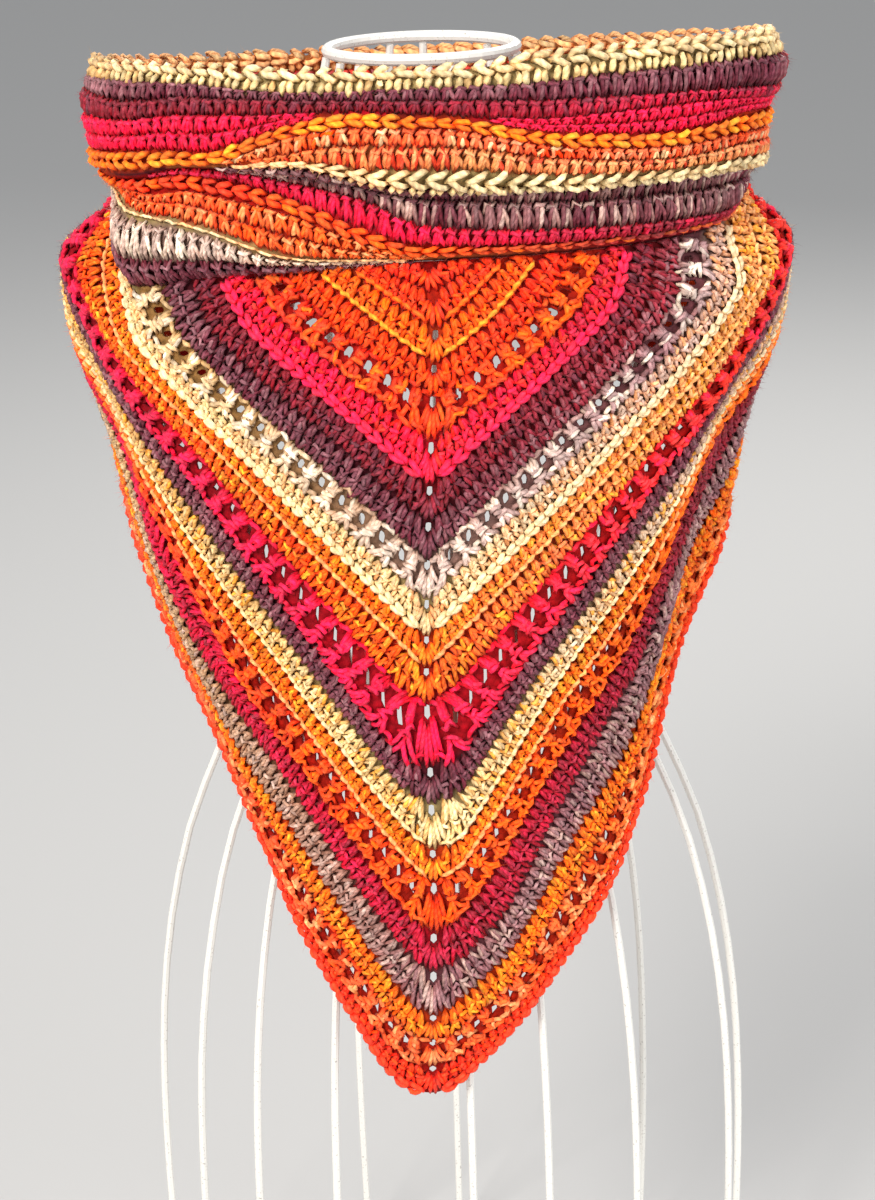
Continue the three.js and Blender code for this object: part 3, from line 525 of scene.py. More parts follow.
class Strands:
    """Gathers strands of yarn and makes them one mesh."""

    def __init__(self, name):
        self.name = name
        self.lines = []
        self.normals = []
        self.colours = []
        self.radii = []
        self.depths = []

    def add(self, lines, normals, colour, radius, depth):
        steps = lines.shape[-2]
        n = lines[..., 0, 0].size
        self.lines.append(lines.reshape(n, steps, 3))
        self.normals.append(normals.reshape(n, steps, 3))
        self.colours.append(colour.reshape(n, 3))
        self.radii.append(np.broadcast_to(radius, lines.shape[:-2]).reshape(n))
        self.depths.append(depth.reshape(n, steps))

    def make(self, material):
        """Strands with as many stretches are worked together, then all are joined."""
        points, faces, colours, yarns = [], [], [], []
        start = 0
        for m in sorted({line.shape[1] for line in self.lines}):
            chosen = [k for k, line in enumerate(self.lines) if line.shape[1] == m]
            lines, normals, shades, radii, depths = (np.concatenate([kept[k] for k in chosen]) for kept in (
                self.lines, self.normals, self.colours, self.radii, self.depths))
            tubes = self.tubes(lines, normals, shades, radii, depths, start)
            loose = self.fibres(lines, normals, shades, radii, start + len(tubes[0]))
            start += len(tubes[0]) + len(loose[0])
            faces += [tubes[1], tubes[2], loose[1]]
            points += [tubes[0], loose[0]]
            colours += [tubes[3], loose[2]]
            yarns += [tubes[4], loose[3]]
        return build(self.name, np.concatenate(points), faces, material, np.concatenate(colours),
                     np.concatenate(yarns))

    def tubes(self, lines, normals, colours, radii, depths, offset):
        n, m, _ = lines.shape
        way = unit(np.gradient(lines, axis=1))
        side = unit(np.cross(way, normals))
        up = np.cross(side, way)
        taper = np.ones(m)
        taper[0] = taper[-1] = 0.62
        angle = -math.pi / 2 + 2 * math.pi * np.arange(SIDES) / SIDES
        ring = (np.cos(angle)[:, None, None, None] * side + np.sin(angle)[:, None, None, None] * up)
        size = (radii[:, None] * taper)[None, ..., None]
        points = lines[None] + ring * size
        points = points.transpose(1, 2, 0, 3).reshape(-1, 3)
        first = (offset + np.arange(n) * m * SIDES)[:, None, None]
        j = np.arange(m - 1)[None, :, None] * SIDES
        k = np.arange(SIDES)[None, None, :]
        nxt = (k + 1) % SIDES
        quads = np.stack([first + j + k, first + j + nxt, first + j + SIDES + nxt, first + j + SIDES + k], -1)
        quads = quads.reshape(-1, 4)
        start = first[:, 0, 0]
        last = start + (m - 1) * SIDES
        caps = np.concatenate([np.stack([start, start + 3, start + 2, start + 1], -1),
                               np.stack([last, last + 1, last + 2, last + 3], -1)])
        length = np.cumsum(np.linalg.norm(np.diff(lines, axis=1, prepend=lines[:, :1]), axis=-1), 1)
        length = length + rng.uniform(0, 20, (n, 1))
        yarn = np.stack(np.broadcast_arrays(length[..., None], np.arange(SIDES)[None, None] / SIDES,
                                            rng.random((n, 1, 1))), -1)
        # Painted shade and highlight: a strand's colour is darker and richer where it lies low among the
        # others, darker on its side towards the cloth, and paler on its crest.
        crest = np.clip((depths - 0.2) / 2.2, 0, 1)[:, :, None, None]
        lit = (0.52 + 0.58 * crest) * (1.06 - 0.26 * (1 - np.sin(angle)) / 2)[None, None, :, None]
        hue = (colours / colours.max(-1, keepdims=True))[:, None, None, :]
        colour = colours[:, None, None, :] * lit * hue ** (0.9 * (1 - crest))
        glint = 0.02 + 0.16 * (1 - colours.max(-1))[:, None, None, None]  # painted highlight on the crest, stronger on dark yarn
        colour = colour + (glint + 0.3 * colour) * np.clip(crest - 0.6, 0, 1) * 0.5
        return points, quads, caps, colour.reshape(-1, 3), yarn.reshape(-1, 3)

    def fibres(self, lines, normals, colours, radii, offset):
        """A loose fibre on every strand: a closed needle with its root in the yarn."""
        n, m, _ = lines.shape
        way = unit(lines[:, m // 2 + 1] - lines[:, m // 2])
        up = normals[:, m // 2]
        aim = unit(up * rng.uniform(0.1, 0.9, (n, 1)) + way * rng.normal(0, 0.9, (n, 1))
                   + np.cross(way, up) * rng.normal(0, 0.8, (n, 1)))
        root = lines[:, m // 2] + up * radii[:, None] * 0.5
        across = unit(np.cross(aim, rng.normal(0, 1, (n, 3))))
        other = np.cross(aim, across)
        corners = [root + FIBRE["thick"] * (math.cos(a) * across + math.sin(a) * other)
                   for a in (0, 2 * math.pi / 3, 4 * math.pi / 3)]
        tip = root + aim * rng.uniform(FIBRE["short"], FIBRE["long"], (n, 1))
        points = np.stack([*corners, tip], 1).reshape(-1, 3)
        first = offset + 4 * np.arange(n)
        faces = np.concatenate([np.stack([first + a, first + b, first + c], -1)
                                for a, b, c in ((0, 2, 1), (0, 1, 3), (1, 2, 3), (2, 0, 3))])
        colour = np.repeat((0.02 + colours)[:, None], 4, 1).reshape(-1, 3)
        return points, faces, colour, np.zeros((4 * n, 3))


def build(name, points, faces, material, colour, yarn=None):
    """A smooth-shaded mesh from arrays of points in millimetres, with the colour at each."""
    mesh = bpy.data.meshes.new(name)
    flat = [f.reshape(-1) for f in faces if len(f)]
    sizes = np.concatenate([np.full(len(f), f.shape[1]) for f in faces if len(f)])
    loops = np.concatenate(flat).astype(np.int32)
    mesh.vertices.add(len(points))
    mesh.vertices.foreach_set("co", to_world(points).astype(np.float32).reshape(-1))
    mesh.loops.add(len(loops))
    mesh.loops.foreach_set("vertex_index", loops)
    mesh.polygons.add(len(sizes))
    starts = np.concatenate([[0], np.cumsum(sizes)[:-1]]).astype(np.int32)
    mesh.polygons.foreach_set("loop_start", starts)
    mesh.polygons.foreach_set("use_smooth", np.ones(len(sizes), bool))
    layer = mesh.attributes.new("shade", "FLOAT_COLOR", "POINT")
    rgba = np.concatenate([colour, np.ones((len(colour), 1))], -1)
    layer.data.foreach_set("color", rgba.astype(np.float32).reshape(-1))
    if yarn is not None:
        layer = mesh.attributes.new("yarn", "FLOAT_VECTOR", "POINT")
        layer.data.foreach_set("vector", yarn.astype(np.float32).reshape(-1))
    mesh.update(calc_edges=True)
    mesh.validate()
    mesh.materials.append(material)
    piece = bpy.data.objects.new(name, mesh)
    bpy.context.scene.collection.objects.link(piece)
    return piece


def shell(name, outer, inner, loop, keep, colour, material):
    """A thin shell between two grids of points. keep says which cells are cloth and not a hole."""
    rows, cols = outer.shape[0] - 1, keep.shape[1]
    across = outer.shape[1]
    count = outer.shape[0] * across
    j, i = np.nonzero(keep)
    right = (i + 1) % across if loop else i + 1
    a, b = j * across + i, j * across + right
    c, d = (j + 1) * across + right, (j + 1) * across + i
    faces = [np.stack([a, d, c, b], -1), np.stack([a + count, b + count, c + count, d + count], -1)]

    def kept(dj, di):
        jj, ii = j + dj, i + di
        if loop:
            ii = ii % cols
        inside = (jj >= 0) & (jj < rows) & (ii >= 0) & (ii < cols)
        return inside & keep[np.clip(jj, 0, rows - 1), np.clip(ii, 0, cols - 1)]

    for (dj, di), p, q in (((-1, 0), a, b), ((1, 0), c, d), ((0, -1), d, a), ((0, 1), b, c)):
        edge = ~kept(dj, di)
        faces.append(np.stack([p, q, q + count, p + count], -1)[edge])
    points = np.concatenate([outer.reshape(-1, 3), inner.reshape(-1, 3)])
    used = np.unique(np.concatenate([f.reshape(-1) for f in faces]))
    renumber = np.full(len(points), -1)
    renumber[used] = np.arange(len(used))
    both = np.concatenate([colour.reshape(-1, 3), colour.reshape(-1, 3)])
    return build(name, points[used], [renumber[np.concatenate(faces)]], material, both[used])


# Materials


def material(name):
    mat = bpy.data.materials.new(name)
    mat.use_nodes = True
    tree = mat.node_tree
    return mat, tree, tree.nodes["Principled BSDF"]


def node(tree, kind, **values):
    made = tree.nodes.new(kind)
    for key, value in values.items():
        if isinstance(value, dict):
            for socket, number in value.items():
                made.inputs[socket].default_value = number
        else:
            setattr(made, key, value)
    return made


PLIES = 2
TWIST = 2.1  # radians of twist to a millimetre of yarn


def yarn_material():
    """Wool yarn: its colour, which carries painted shade and highlight, two plies twisted together and
    painted lighter on their crests and darker in their grooves, fine fibres and a soft sheen.
    """
    mat, tree, shader = material("yarn")
    link = tree.links.new
    shade = node(tree, "ShaderNodeAttribute", attribute_name="shade")
    strand = node(tree, "ShaderNodeAttribute", attribute_name="yarn")
    parts = node(tree, "ShaderNodeSeparateXYZ")
    link(strand.outputs["Vector"], parts.inputs[0])
    turns = node(tree, "ShaderNodeMath", operation="MULTIPLY_ADD", inputs={1: PLIES * 2 * math.pi})
    link(parts.outputs["Y"], turns.inputs[0])
    along = node(tree, "ShaderNodeMath", operation="MULTIPLY", inputs={1: TWIST})
    link(parts.outputs["X"], along.inputs[0])
    link(along.outputs[0], turns.inputs[2])
    ply = node(tree, "ShaderNodeMath", operation="SINE")
    link(turns.outputs[0], ply.inputs[0])
    place = node(tree, "ShaderNodeTexCoord")
    fibre = node(tree, "ShaderNodeTexNoise", inputs={"Scale": 1500.0, "Detail": 3.0, "Roughness": 0.6})
    link(place.outputs["Object"], fibre.inputs["Vector"])
    height = node(tree, "ShaderNodeMath", operation="MULTIPLY_ADD", inputs={1: 0.35})
    link(ply.outputs[0], height.inputs[0])
    link(fibre.outputs["Fac"], height.inputs[2])
    bump = node(tree, "ShaderNodeBump", inputs={"Strength": 0.55, "Distance": 0.0006})
    link(height.outputs[0], bump.inputs["Height"])
    # Painted highlight and shade: the colour is lighter on the crests of the plies and fibres and darker in
    # their grooves.
    light = node(tree, "ShaderNodeMapRange",
                 inputs={"From Min": -0.2, "From Max": 1.3, "To Min": 0.62, "To Max": 1.35})
    link(height.outputs[0], light.inputs["Value"])
    scale = node(tree, "ShaderNodeVectorMath", operation="SCALE")
    link(shade.outputs["Color"], scale.inputs[0])
    link(light.outputs[0], scale.inputs["Scale"])
    heather = node(tree, "ShaderNodeTexNoise", inputs={"Scale": 420.0, "Detail": 2.0, "Roughness": 0.7})
    link(place.outputs["Object"], heather.inputs["Vector"])
    pale = node(tree, "ShaderNodeMapRange",
                inputs={"From Min": 0.5, "From Max": 0.75, "To Min": 0.0, "To Max": 0.4})
    link(heather.outputs["Fac"], pale.inputs["Value"])
    lighter = node(tree, "ShaderNodeVectorMath", operation="MULTIPLY_ADD",
                   inputs={1: (1.3, 1.3, 1.3), 2: (0.1, 0.06, 0.05)})
    link(scale.outputs[0], lighter.inputs[0])
    blend = node(tree, "ShaderNodeMix", data_type="RGBA")
    link(pale.outputs[0], blend.inputs["Factor"])
    link(scale.outputs[0], blend.inputs["A"])
    link(lighter.outputs[0], blend.inputs["B"])
    link(blend.outputs["Result"], shader.inputs["Base Color"])
    link(bump.outputs[0], shader.inputs["Normal"])
    shader.inputs["Roughness"].default_value = 0.5
    shader.inputs["Specular IOR Level"].default_value = 0.14
    shader.inputs["Sheen Weight"].default_value = 0.05
    shader.inputs["Sheen Roughness"].default_value = 0.4
    return mat


def cloth_material():
    """The inside of the fabric, under the strands: the same yarn in painted shade, darker still in the
    hollows of its loops, which are bump.
    """
    mat, tree, shader = material("cloth_inside")
    link = tree.links.new
    shade = node(tree, "ShaderNodeAttribute", attribute_name="shade")
    place = node(tree, "ShaderNodeTexCoord")
    loops = node(tree, "ShaderNodeTexVoronoi", inputs={"Scale": 260.0, "Randomness": 0.85})
    fibre = node(tree, "ShaderNodeTexNoise", inputs={"Scale": 900.0, "Detail": 4.0})
    link(place.outputs["Object"], loops.inputs["Vector"])
    link(place.outputs["Object"], fibre.inputs["Vector"])
    height = node(tree, "ShaderNodeMath", operation="MULTIPLY_ADD", inputs={1: 0.3})
    link(fibre.outputs["Fac"], height.inputs[0])
    link(loops.outputs["Distance"], height.inputs[2])
    bump = node(tree, "ShaderNodeBump", inputs={"Strength": 0.8, "Distance": 0.0015})
    bump.invert = True
    link(height.outputs[0], bump.inputs["Height"])
    # Painted shade: the colour is darker where the loops' bump lies low.
    light = node(tree, "ShaderNodeMapRange",
                 inputs={"From Min": 0.1, "From Max": 0.9, "To Min": 1.1, "To Max": 0.55})
    link(height.outputs[0], light.inputs["Value"])
    scale = node(tree, "ShaderNodeVectorMath", operation="SCALE")
    link(shade.outputs["Color"], scale.inputs[0])
    link(light.outputs[0], scale.inputs["Scale"])
    link(scale.outputs[0], shader.inputs["Base Color"])
    link(bump.outputs[0], shader.inputs["Normal"])
    shader.inputs["Roughness"].default_value = 0.85
    shader.inputs["Specular IOR Level"].default_value = 0.2
    return mat


def paint_material():
    """White paint on wire: a few thin places and a slightly uneven gloss."""
    mat, tree, shader = material("painted_wire")
    link = tree.links.new
    place = node(tree, "ShaderNodeTexCoord")
    drops = node(tree, "ShaderNodeTexNoise", inputs={"Scale": 160.0, "Detail": 3.0})
    specks = node(tree, "ShaderNodeTexNoise", inputs={"Scale": 900.0, "Detail": 2.0})
    for noise in (drops, specks):
        link(place.outputs["Object"], noise.inputs["Vector"])
    tone = node(tree, "ShaderNodeValToRGB")
    tone.color_ramp.elements[0].position = 0.28
    tone.color_ramp.elements[0].color = (0.52, 0.49, 0.44, 1)
    tone.color_ramp.elements[1].position = 0.38
    tone.color_ramp.elements[1].color = (0.86, 0.84, 0.78, 1)
    link(specks.outputs["Fac"], tone.inputs["Fac"])
    gloss = node(tree, "ShaderNodeMapRange", inputs={"To Min": 0.24, "To Max": 0.5})
    link(drops.outputs["Fac"], gloss.inputs["Value"])
    bump = node(tree, "ShaderNodeBump", inputs={"Strength": 0.25, "Distance": 0.0003})
    link(drops.outputs["Fac"], bump.inputs["Height"])
    link(tone.outputs["Color"], shader.inputs["Base Color"])
    link(gloss.outputs[0], shader.inputs["Roughness"])
    link(bump.outputs[0], shader.inputs["Normal"])
    return mat


YARN_LOOK = yarn_material()
CLOTH_LOOK = cloth_material()
PAINT_LOOK = paint_material()

# The triangle

ARC_STEPS = 240


def row_arcs(row):
    """For each side, along as a function of the distance from the spine, on the middle of a row."""
    found = {}
    for side in (-1, 1):
        along = side * np.linspace(0, 1, ARC_STEPS)
        line = drape_line(np.full(ARC_STEPS, row + 0.5), along)
        found[side] = (arc_length(line), along)
    return found


def row_slants(row):
    """For each side, how far a point straight down the form slides along the row, for one row."""
    found = {}
    for side in (-1, 1):
        along = side * np.linspace(0, 1, ARC_STEPS)
        middle = np.full(ARC_STEPS, row + 0.5)
        way = unit(np.gradient(drape_line(middle, along), axis=0))
        down = drape_line(middle + 0.4, along) - drape_line(middle - 0.4, along)
        slant = np.sum(way * down, -1) / 0.8
        slant = np.convolve(np.pad(slant, 6, mode="edge"), np.full(13, 1 / 13), "valid")
        arc = ARCS[row][side][0]
        found[side] = slant * np.clip((arc - 3) / 14, 0, 1)
    return found


ARCS = [row_arcs(row) for row in range(ROWS)]
SLANTS = [row_slants(row) for row in range(ROWS)]
SPINE_GAP = 4.0  # millimetres from the spine to the first stitch


def place_stitches(strands, kind, row, side, v0, v1, colour, lift=0.0):
    """Works one line of stitches along an arm of a row, between two heights of it."""
    arc, along = ARCS[row][side]
    length = arc[-1] - SPINE_GAP
    count = max(1, round(length / STITCH_WIDTH[kind]))
    step = length / count
    lines = stitch_lines(kind, count)
    far = SPINE_GAP + (np.arange(count)[:, None, None] + lines[..., 0]) * step
    control = np.stack([far, v0 + (v1 - v0) * lines[..., 1], lines[..., 2] + lift], -1)
    path = spread(control, STEPS.get(kind, 3))
    slant = np.interp(path[..., 0], arc, SLANTS[row][side])
    slid = path[..., 0] - slant * (path[..., 1] - 0.5)
    at = np.interp(np.clip(slid, 0, arc[-1]), arc, along)
    rows = np.clip(row + path[..., 1], 0, ROWS)
    base, normal = skin(drape_surface, rows, at)
    middle = far.mean(-1)
    tone = colour(middle / arc[-1], middle)
    strands.add(base + normal * path[..., 2:3], normal, tone, YARN_RADIUS[kind], path[..., 2])


def spine_fan(strands, row):
    """The increase at the spine: strands that fan out below the row's hole."""
    spread_at = np.array([-5.6, -3.4, -1.2, 1.2, 3.4, 5.6])
    count = len(spread_at)
    across = spread_at[:, None] * np.array([0.42, 0.55, 0.85, 1.15])
    down = np.repeat(np.array([[0.38, 0.55, 0.78, 1.02]]), count, 0)
    down = down - 0.03 * np.abs(spread_at)[:, None]
    out = np.repeat(np.array([[0.6, 2.2, 2.4, 0.5]]), count, 0)
    jitter = rng.normal(0, 1, (count, 4, 3)) * np.array([0.25, 0.02, 0.2])
    control = np.stack([across, down, out], -1) + jitter
    path = spread(control, 4)
    arc, along = ARCS[row][1]
    at = np.interp(np.abs(path[..., 0]), arc, along) * np.sign(path[..., 0])
    rows = np.clip(row + path[..., 1], 0, ROWS)
    base, normal = skin(drape_surface, rows, at)
    tone = triangle_colour(row, 1, np.zeros(count), spread_at)
    strands.add(base + normal * path[..., 2:3], normal, tone, YARN_RADIUS["fan"], path[..., 2])


CHAIN_FROM = 0.74  # height in the row at which a chained edge takes over
RIDGE = {"from": 0.66, "to": 1.06, "lift": 0.5}  # an edge's heights in the row, and how far it stands out


def work_row(strands, row):
    look = TRIANGLE_LOOK[row]
    kind = look["kind"]
    for side in (-1, 1):
        def tone(part, arc):
            return triangle_colour(row, side, part, arc)

        def ridge_tone(part, arc):
            own = np.broadcast_to(linear(look["edge_colour"]), np.shape(part) + (3,))
            both = mixed(own, tone(part, arc), 0.3)
            return both * (0.9 + 0.25 * rng.random(np.shape(part)))[..., None]

        edge = look["edge"]
        bottom = CHAIN_FROM if edge == "chain" else 1.0
        place_stitches(strands, kind, row, side, 0.0, bottom, tone)
        if edge:
            place_stitches(strands, edge, row, side, RIDGE["from"], RIDGE["to"], ridge_tone, RIDGE["lift"])
    spine_fan(strands, row)


def eyelets(row):
    """Centres and half sizes of a row's holes: side, distance from the spine, height in the row."""
    found = []
    kind = TRIANGLE_LOOK[row]["kind"]
    if kind not in ("cluster", "mesh"):
        return found
    for side in (-1, 1):
        arc, _ = ARCS[row][side]
        length = arc[-1] - SPINE_GAP
        count = max(1, round(length / STITCH_WIDTH[kind]))
        for k in range(1, count):
            found.append((side, SPINE_GAP + k * length / count))
    return found


SHELL_COLUMNS = 132  # cells of the shell from the spine to one end
SHELL_STEPS = 4  # cells of the shell down one row
# Half width in millimetres, then half height and height of the middle as shares of the row.
HOLE = {"cluster": (1.7, 0.18, 0.4), "mesh": (1.9, 0.19, 0.4)}
SPINE_HOLE = (1.8, 0.14, 0.15)
FIRST_HOLE = 2  # the first rows lie under the neck tube and have no hole
EDGE_GAP = 0.012  # share of a row left between the two pieces of the triangle


def triangle_shell(name, first, last, material_used):
    along = np.linspace(-1, 1, 2 * SHELL_COLUMNS + 1)
    rows = np.linspace(first, last, (last - first) * SHELL_STEPS + 1)
    grid_row, grid_along = np.meshgrid(rows, along, indexing="ij")
    keep = np.ones((len(rows) - 1, len(along) - 1), bool)
    mid_row = (rows[1:] + rows[:-1]) / 2
    mid_along = (along[1:] + along[:-1]) / 2
    for row in range(first, last):
        holes = [(side, arc, *HOLE[TRIANGLE_LOOK[row]["kind"]]) for side, arc in eyelets(row)]
        if row >= FIRST_HOLE:
            holes.append((1, 0.0, *SPINE_HOLE))
        for side, far, wide, tall, height in holes:
            arc, alongs = ARCS[row][side]
            if far:
                far = far - np.interp(far, arc, SLANTS[row][side]) * (height - 0.5)
            centre = np.interp(far, arc, alongs)
            near = np.interp(abs(far - wide), arc, alongs) * (1 if far >= wide else -1)
            beyond = np.interp(far + wide, arc, alongs)
            half = abs(beyond - near) / 2
            j, i = np.meshgrid((mid_row - row - height) / tall, (mid_along - centre) / half, indexing="ij")
            gone = j**2 + i**2 < 1
            if not gone.any():
                gone.flat[np.argmin(j**2 + i**2)] = True
            keep &= ~gone
            # the corners round the hole move onto its edge
            edge = np.zeros(grid_row.shape, bool)
            jj, ii = np.nonzero(gone)
            for dj in (0, 1):
                for di in (0, 1):
                    edge[jj + dj, ii + di] = True
            y = (grid_row[edge] - row - height) / tall
            x = (grid_along[edge] - centre) / half
            size = np.maximum(np.hypot(x, y), 1e-6)
            grow = np.where(size > 0.55, 1 / size, 1)
            grid_row[edge] = row + height + y * grow * tall
            grid_along[edge] = centre + x * grow * half
    grid_row = np.clip(grid_row, first, last)
    shift = np.zeros(grid_row.shape)
    shift[grid_row <= first + 1e-6] = EDGE_GAP if first > 0 else 0
    shift[grid_row >= last - 1e-6] = -EDGE_GAP if last < ROWS else 0
    outer = drape_surface(grid_row + shift, grid_along, CLOTH_OUT + 0 * grid_row)
    inner = drape_surface(grid_row + shift, grid_along, CLOTH_IN + 0 * grid_row)
    colour = np.zeros(grid_row.shape + (3,))
    index = np.clip(np.floor(grid_row).astype(int), first, last - 1)
    for row in range(first, last):
        look = TRIANGLE_LOOK[row]
        part = np.clip(np.abs(grid_along) * ARM_CHANGE, 0, 1)
        far = np.where((grid_along < 0)[..., None], linear(look["left"]), linear(look["right"]))
        tone = mixed(linear(look["spine"]), far, part)
        # painted shade: the sheet under the strands takes its row's yarn colour darkened as in shade
        colour = np.where((index == row)[..., None], gap_shade(tone), colour)
    return shell(name, outer, inner, False, keep, colour, material_used)


# The neck tube

TUCK = 0.5  # place on the profile where the band ends and the pouch begins
ROUND_CELLS = 188  # cells of the shell once round the neck tube
INSIDE_FROM = 78  # azimuth behind which the band's inside is worked too
THINNEST = 1.3  # a line of stitches narrower than this doesn't show
FULL = {"depth": 6.5, "yarn": 6.0}  # height of a line at which its stitches are at their full size


def round_azimuths():
    """Azimuths spaced evenly by length round the neck tube."""
    az = np.linspace(-180, 180, 721)
    line = neck_line(az, np.full(az.shape, 0.2))
    return arc_length(line), az


ROUND_ARC, ROUND_ALONG = round_azimuths()

# The rim's chain stands up above the edge of the cloth.
RIM_TOP = smooth_line([-180, -90, 0, 60, 180], [-0.02, -0.03, -0.03, -0.014, -0.02])


def neck_tone(look, az):
    """Yarn colour of a round at an azimuth."""
    stations = [-180, -112, -84, -66, -61, -35, 0, 40, 75, 110, 180]
    names = ["back", "back", "side", "side", "near", "near", "front", "right", "right", "back", "back"]
    colours = np.array([linear(look[n]) for n in names])
    return np.stack([np.interp(az, stations, colours[:, c]) for c in range(3)], -1)


def neck_stitches(strands, index, part, inside=False):
    """Works one round of the neck tube. part is the stretch of the profile that this piece covers."""
    look = NECK_LOOK[index]
    for line in range(look["lines"]):
        neck_line_of_stitches(strands, index, line, part, inside)


def neck_line_of_stitches(strands, index, line, part, inside):
    look = NECK_LOOK[index]
    kind = look["kind"]
    total = ROUND_ARC[-1]
    start = NECK_LOOK[index - 1]["end"] if index else RIM_TOP
    count = ROUND_STITCHES[kind]
    step = total / count
    lines = stitch_lines(kind, count)
    far = (np.arange(count)[:, None, None] + lines[..., 0]) * step + ((index + line) % 2) * step / 2
    control = np.stack([far, lines[..., 1], lines[..., 2]], -1)
    path = spread(control, STEPS.get(kind, 3))
    az = np.interp(path[..., 0] % total, ROUND_ARC, ROUND_ALONG)
    top = start(az)
    low = look["end"](az)
    down = (line + path[..., 1]) / look["lines"]
    place = top + (low - top) * down
    out = np.where(inside, -path[..., 2], path[..., 2])
    # a line of stitches too narrow to show, or on the other piece, is left out
    middle = az[..., 2]
    high = neck_line(middle, start(middle))
    foot = neck_line(middle, look["end"](middle))
    tall = np.linalg.norm(high - foot, axis=-1) / look["lines"]
    centre = start(middle) + (look["end"](middle) - start(middle)) * (line + 0.5) / look["lines"]
    show = (tall > THINNEST) & (centre >= part[0]) & (centre < part[1])
    if inside:
        show &= np.abs(middle) > INSIDE_FROM
    squeeze = np.clip(tall / FULL["depth"], 0.45, 1)[..., None]
    base, normal = skin(neck_surface, az, place)
    points = base + normal * (out * squeeze)[..., None]
    tone = with_flecks(neck_tone(look, middle), look["fleck"], far.mean(-1), 300 + index)
    facing = -normal if inside else normal
    radius = YARN_RADIUS[kind] * np.clip(tall / FULL["yarn"], 0.6, 1)
    strands.add(points[show], facing[show], tone[show], radius[show], path[..., 2][show])


def neck_shell(name, first, last, steps, gap_top, gap_low, material_used):
    az = np.interp(np.linspace(0, ROUND_ARC[-1], ROUND_CELLS + 1)[:-1], ROUND_ARC, ROUND_ALONG)
    place = np.linspace(first + gap_top, last - gap_low, steps + 1)
    grid_place, grid_az = np.meshgrid(place, az, indexing="ij")
    outer = neck_surface(grid_az, grid_place, CLOTH_OUT + 0 * grid_az)
    inner = neck_surface(grid_az, grid_place, CLOTH_IN + 0 * grid_az)
    colour = np.zeros(grid_az.shape + (3,))
    top = 0 * grid_az - 1
    for look in NECK_LOOK:
        low = look["end"](grid_az)
        inside = (grid_place > top) & (grid_place <= low)
        # painted shade: the sheet under the stitches takes each round's yarn colour darkened as in shade
        colour = np.where(inside[..., None], gap_shade(neck_tone(look, grid_az)), colour)
        top = low
    keep = np.ones((steps, ROUND_CELLS), bool)
    return shell(name, outer, inner, True, keep, colour, material_used)


# Make the pieces

band = neck_shell("neck_band_cloth", 0, TUCK, 18, 0, 0.004, CLOTH_LOOK)
pouch = neck_shell("neck_pouch_cloth", TUCK, 1, 16, 0.004, 0.006, CLOTH_LOOK)
triangle = triangle_shell("front_triangle_cloth", 0, BORDER_FROM, CLOTH_LOOK)
border = triangle_shell("hem_border_cloth", BORDER_FROM, ROWS, CLOTH_LOOK)

GROUPS = [
    {"name": "triangle_stitches_centre", "from": 0, "to": 10},
    {"name": "triangle_stitches_middle", "from": 10, "to": 14},
    {"name": "triangle_stitches_outer", "from": 14, "to": 17},
    {"name": "triangle_stitches_last", "from": 17, "to": 20},
    {"name": "hem_border_stitches", "from": 20, "to": 22},
]
made = {}
for group in GROUPS:
    strands = Strands(group["name"])
    for row in range(group["from"], group["to"]):
        work_row(strands, row)
    made[group["name"]] = strands.make(YARN_LOOK)

band_strands = Strands("neck_band_stitches")
pouch_strands = Strands("neck_pouch_stitches")
for index in range(len(NECK_LOOK)):
    neck_stitches(band_strands, index, (-1, TUCK))
    neck_stitches(pouch_strands, index, (TUCK, 2))
for index in range(4):
    neck_stitches(band_strands, index, (-1, TUCK), inside=True)
made["band"] = band_strands.make(YARN_LOOK)
made["pouch"] = pouch_strands.make(YARN_LOOK)

for piece in (band, pouch, triangle, border, *made.values()):
    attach(piece, "root")
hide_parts("neck_band")
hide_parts("neck_pouch")
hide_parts("front_triangle")
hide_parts("hem_border")

for name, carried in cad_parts.items():
    if name.startswith("wire_") or name in ("neck_ring", "base_hoop"):
        carried.data.materials.clear()
        carried.data.materials.append(PAINT_LOOK)

# Stage, lights and camera

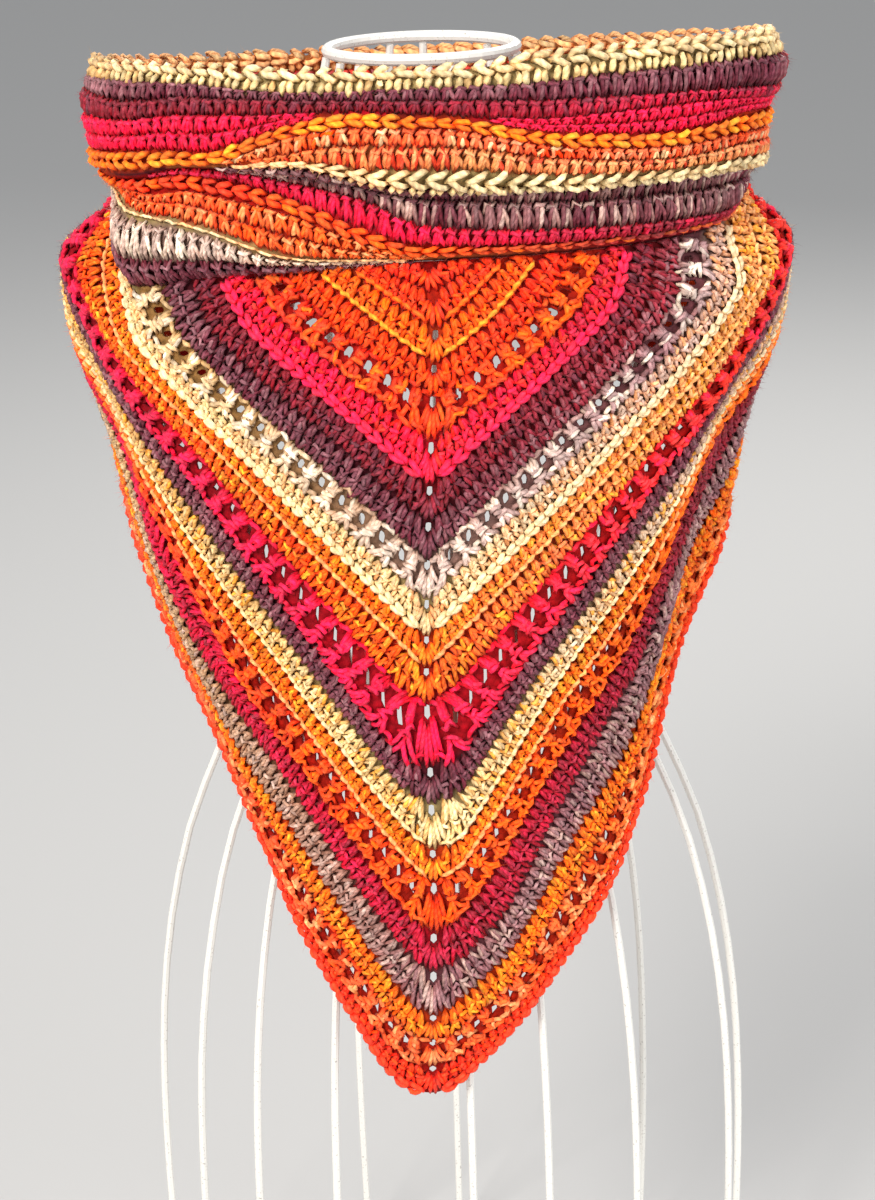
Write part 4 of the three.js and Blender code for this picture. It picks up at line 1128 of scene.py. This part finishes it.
bpy.ops.mesh.primitive_plane_add(size=30, location=(0, 0, -0.0005))
floor = bpy.context.object
floor.name = "floor"
floor_look, _, floor_shader = material("floor")
floor_shader.inputs["Base Color"].default_value = (0.52, 0.515, 0.505, 1)
floor_shader.inputs["Roughness"].default_value = 0.9
floor.data.materials.append(floor_look)

LIGHTS = [
    {"name": "key", "at": (-1.3, -1.9, 2.1), "size": 1.0, "power": 78, "tint": (1.0, 0.97, 0.93)},
    {"name": "fill", "at": (1.9, -1.5, 1.1), "size": 1.6, "power": 30, "tint": (0.95, 0.97, 1.0)},
    {"name": "back", "at": (0.6, 1.7, 1.8), "size": 1.2, "power": 26, "tint": (1.0, 0.98, 0.95)},
]
AIM = Vector((0, 0, 0.42))
for spec in LIGHTS:
    data = bpy.data.lights.new(spec["name"], "AREA")
    data.energy = spec["power"]
    data.size = spec["size"]
    data.color = spec["tint"]
    lamp = bpy.data.objects.new(spec["name"], data)
    lamp.location = spec["at"]
    lamp.rotation_euler = (AIM - lamp.location).to_track_quat("-Z", "Y").to_euler()
    bpy.context.scene.collection.objects.link(lamp)

world = bpy.data.worlds.new("studio")
world.use_nodes = True
world.node_tree.nodes["Background"].inputs["Color"].default_value = (0.95, 0.97, 1.0, 1)
world.node_tree.nodes["Background"].inputs["Strength"].default_value = 0.55
bpy.context.scene.world = world
bpy.context.scene.view_settings.view_transform = "Standard"
bpy.context.scene.view_settings.look = "None"

PITCH = math.radians(20)  # the camera looks down by this much
ROLL = math.radians(-1.66)
EYE = (0, -1.05916, 0.79796)
right = Vector((1, 0, 0))
upward = Vector((0, math.sin(PITCH), math.cos(PITCH)))
ahead = Vector((0, math.cos(PITCH), -math.sin(PITCH)))
x_axis = math.cos(ROLL) * right + math.sin(ROLL) * upward
y_axis = -math.sin(ROLL) * right + math.cos(ROLL) * upward
camera_data = bpy.data.cameras.new("camera")
camera_data.lens = 72
camera_data.sensor_width = 36
camera = bpy.data.objects.new("camera", camera_data)
camera.matrix_world = Matrix((x_axis, y_axis, -ahead)).transposed().to_4x4()
camera.location = EYE
bpy.context.scene.collection.objects.link(camera)
bpy.context.scene.camera = camera
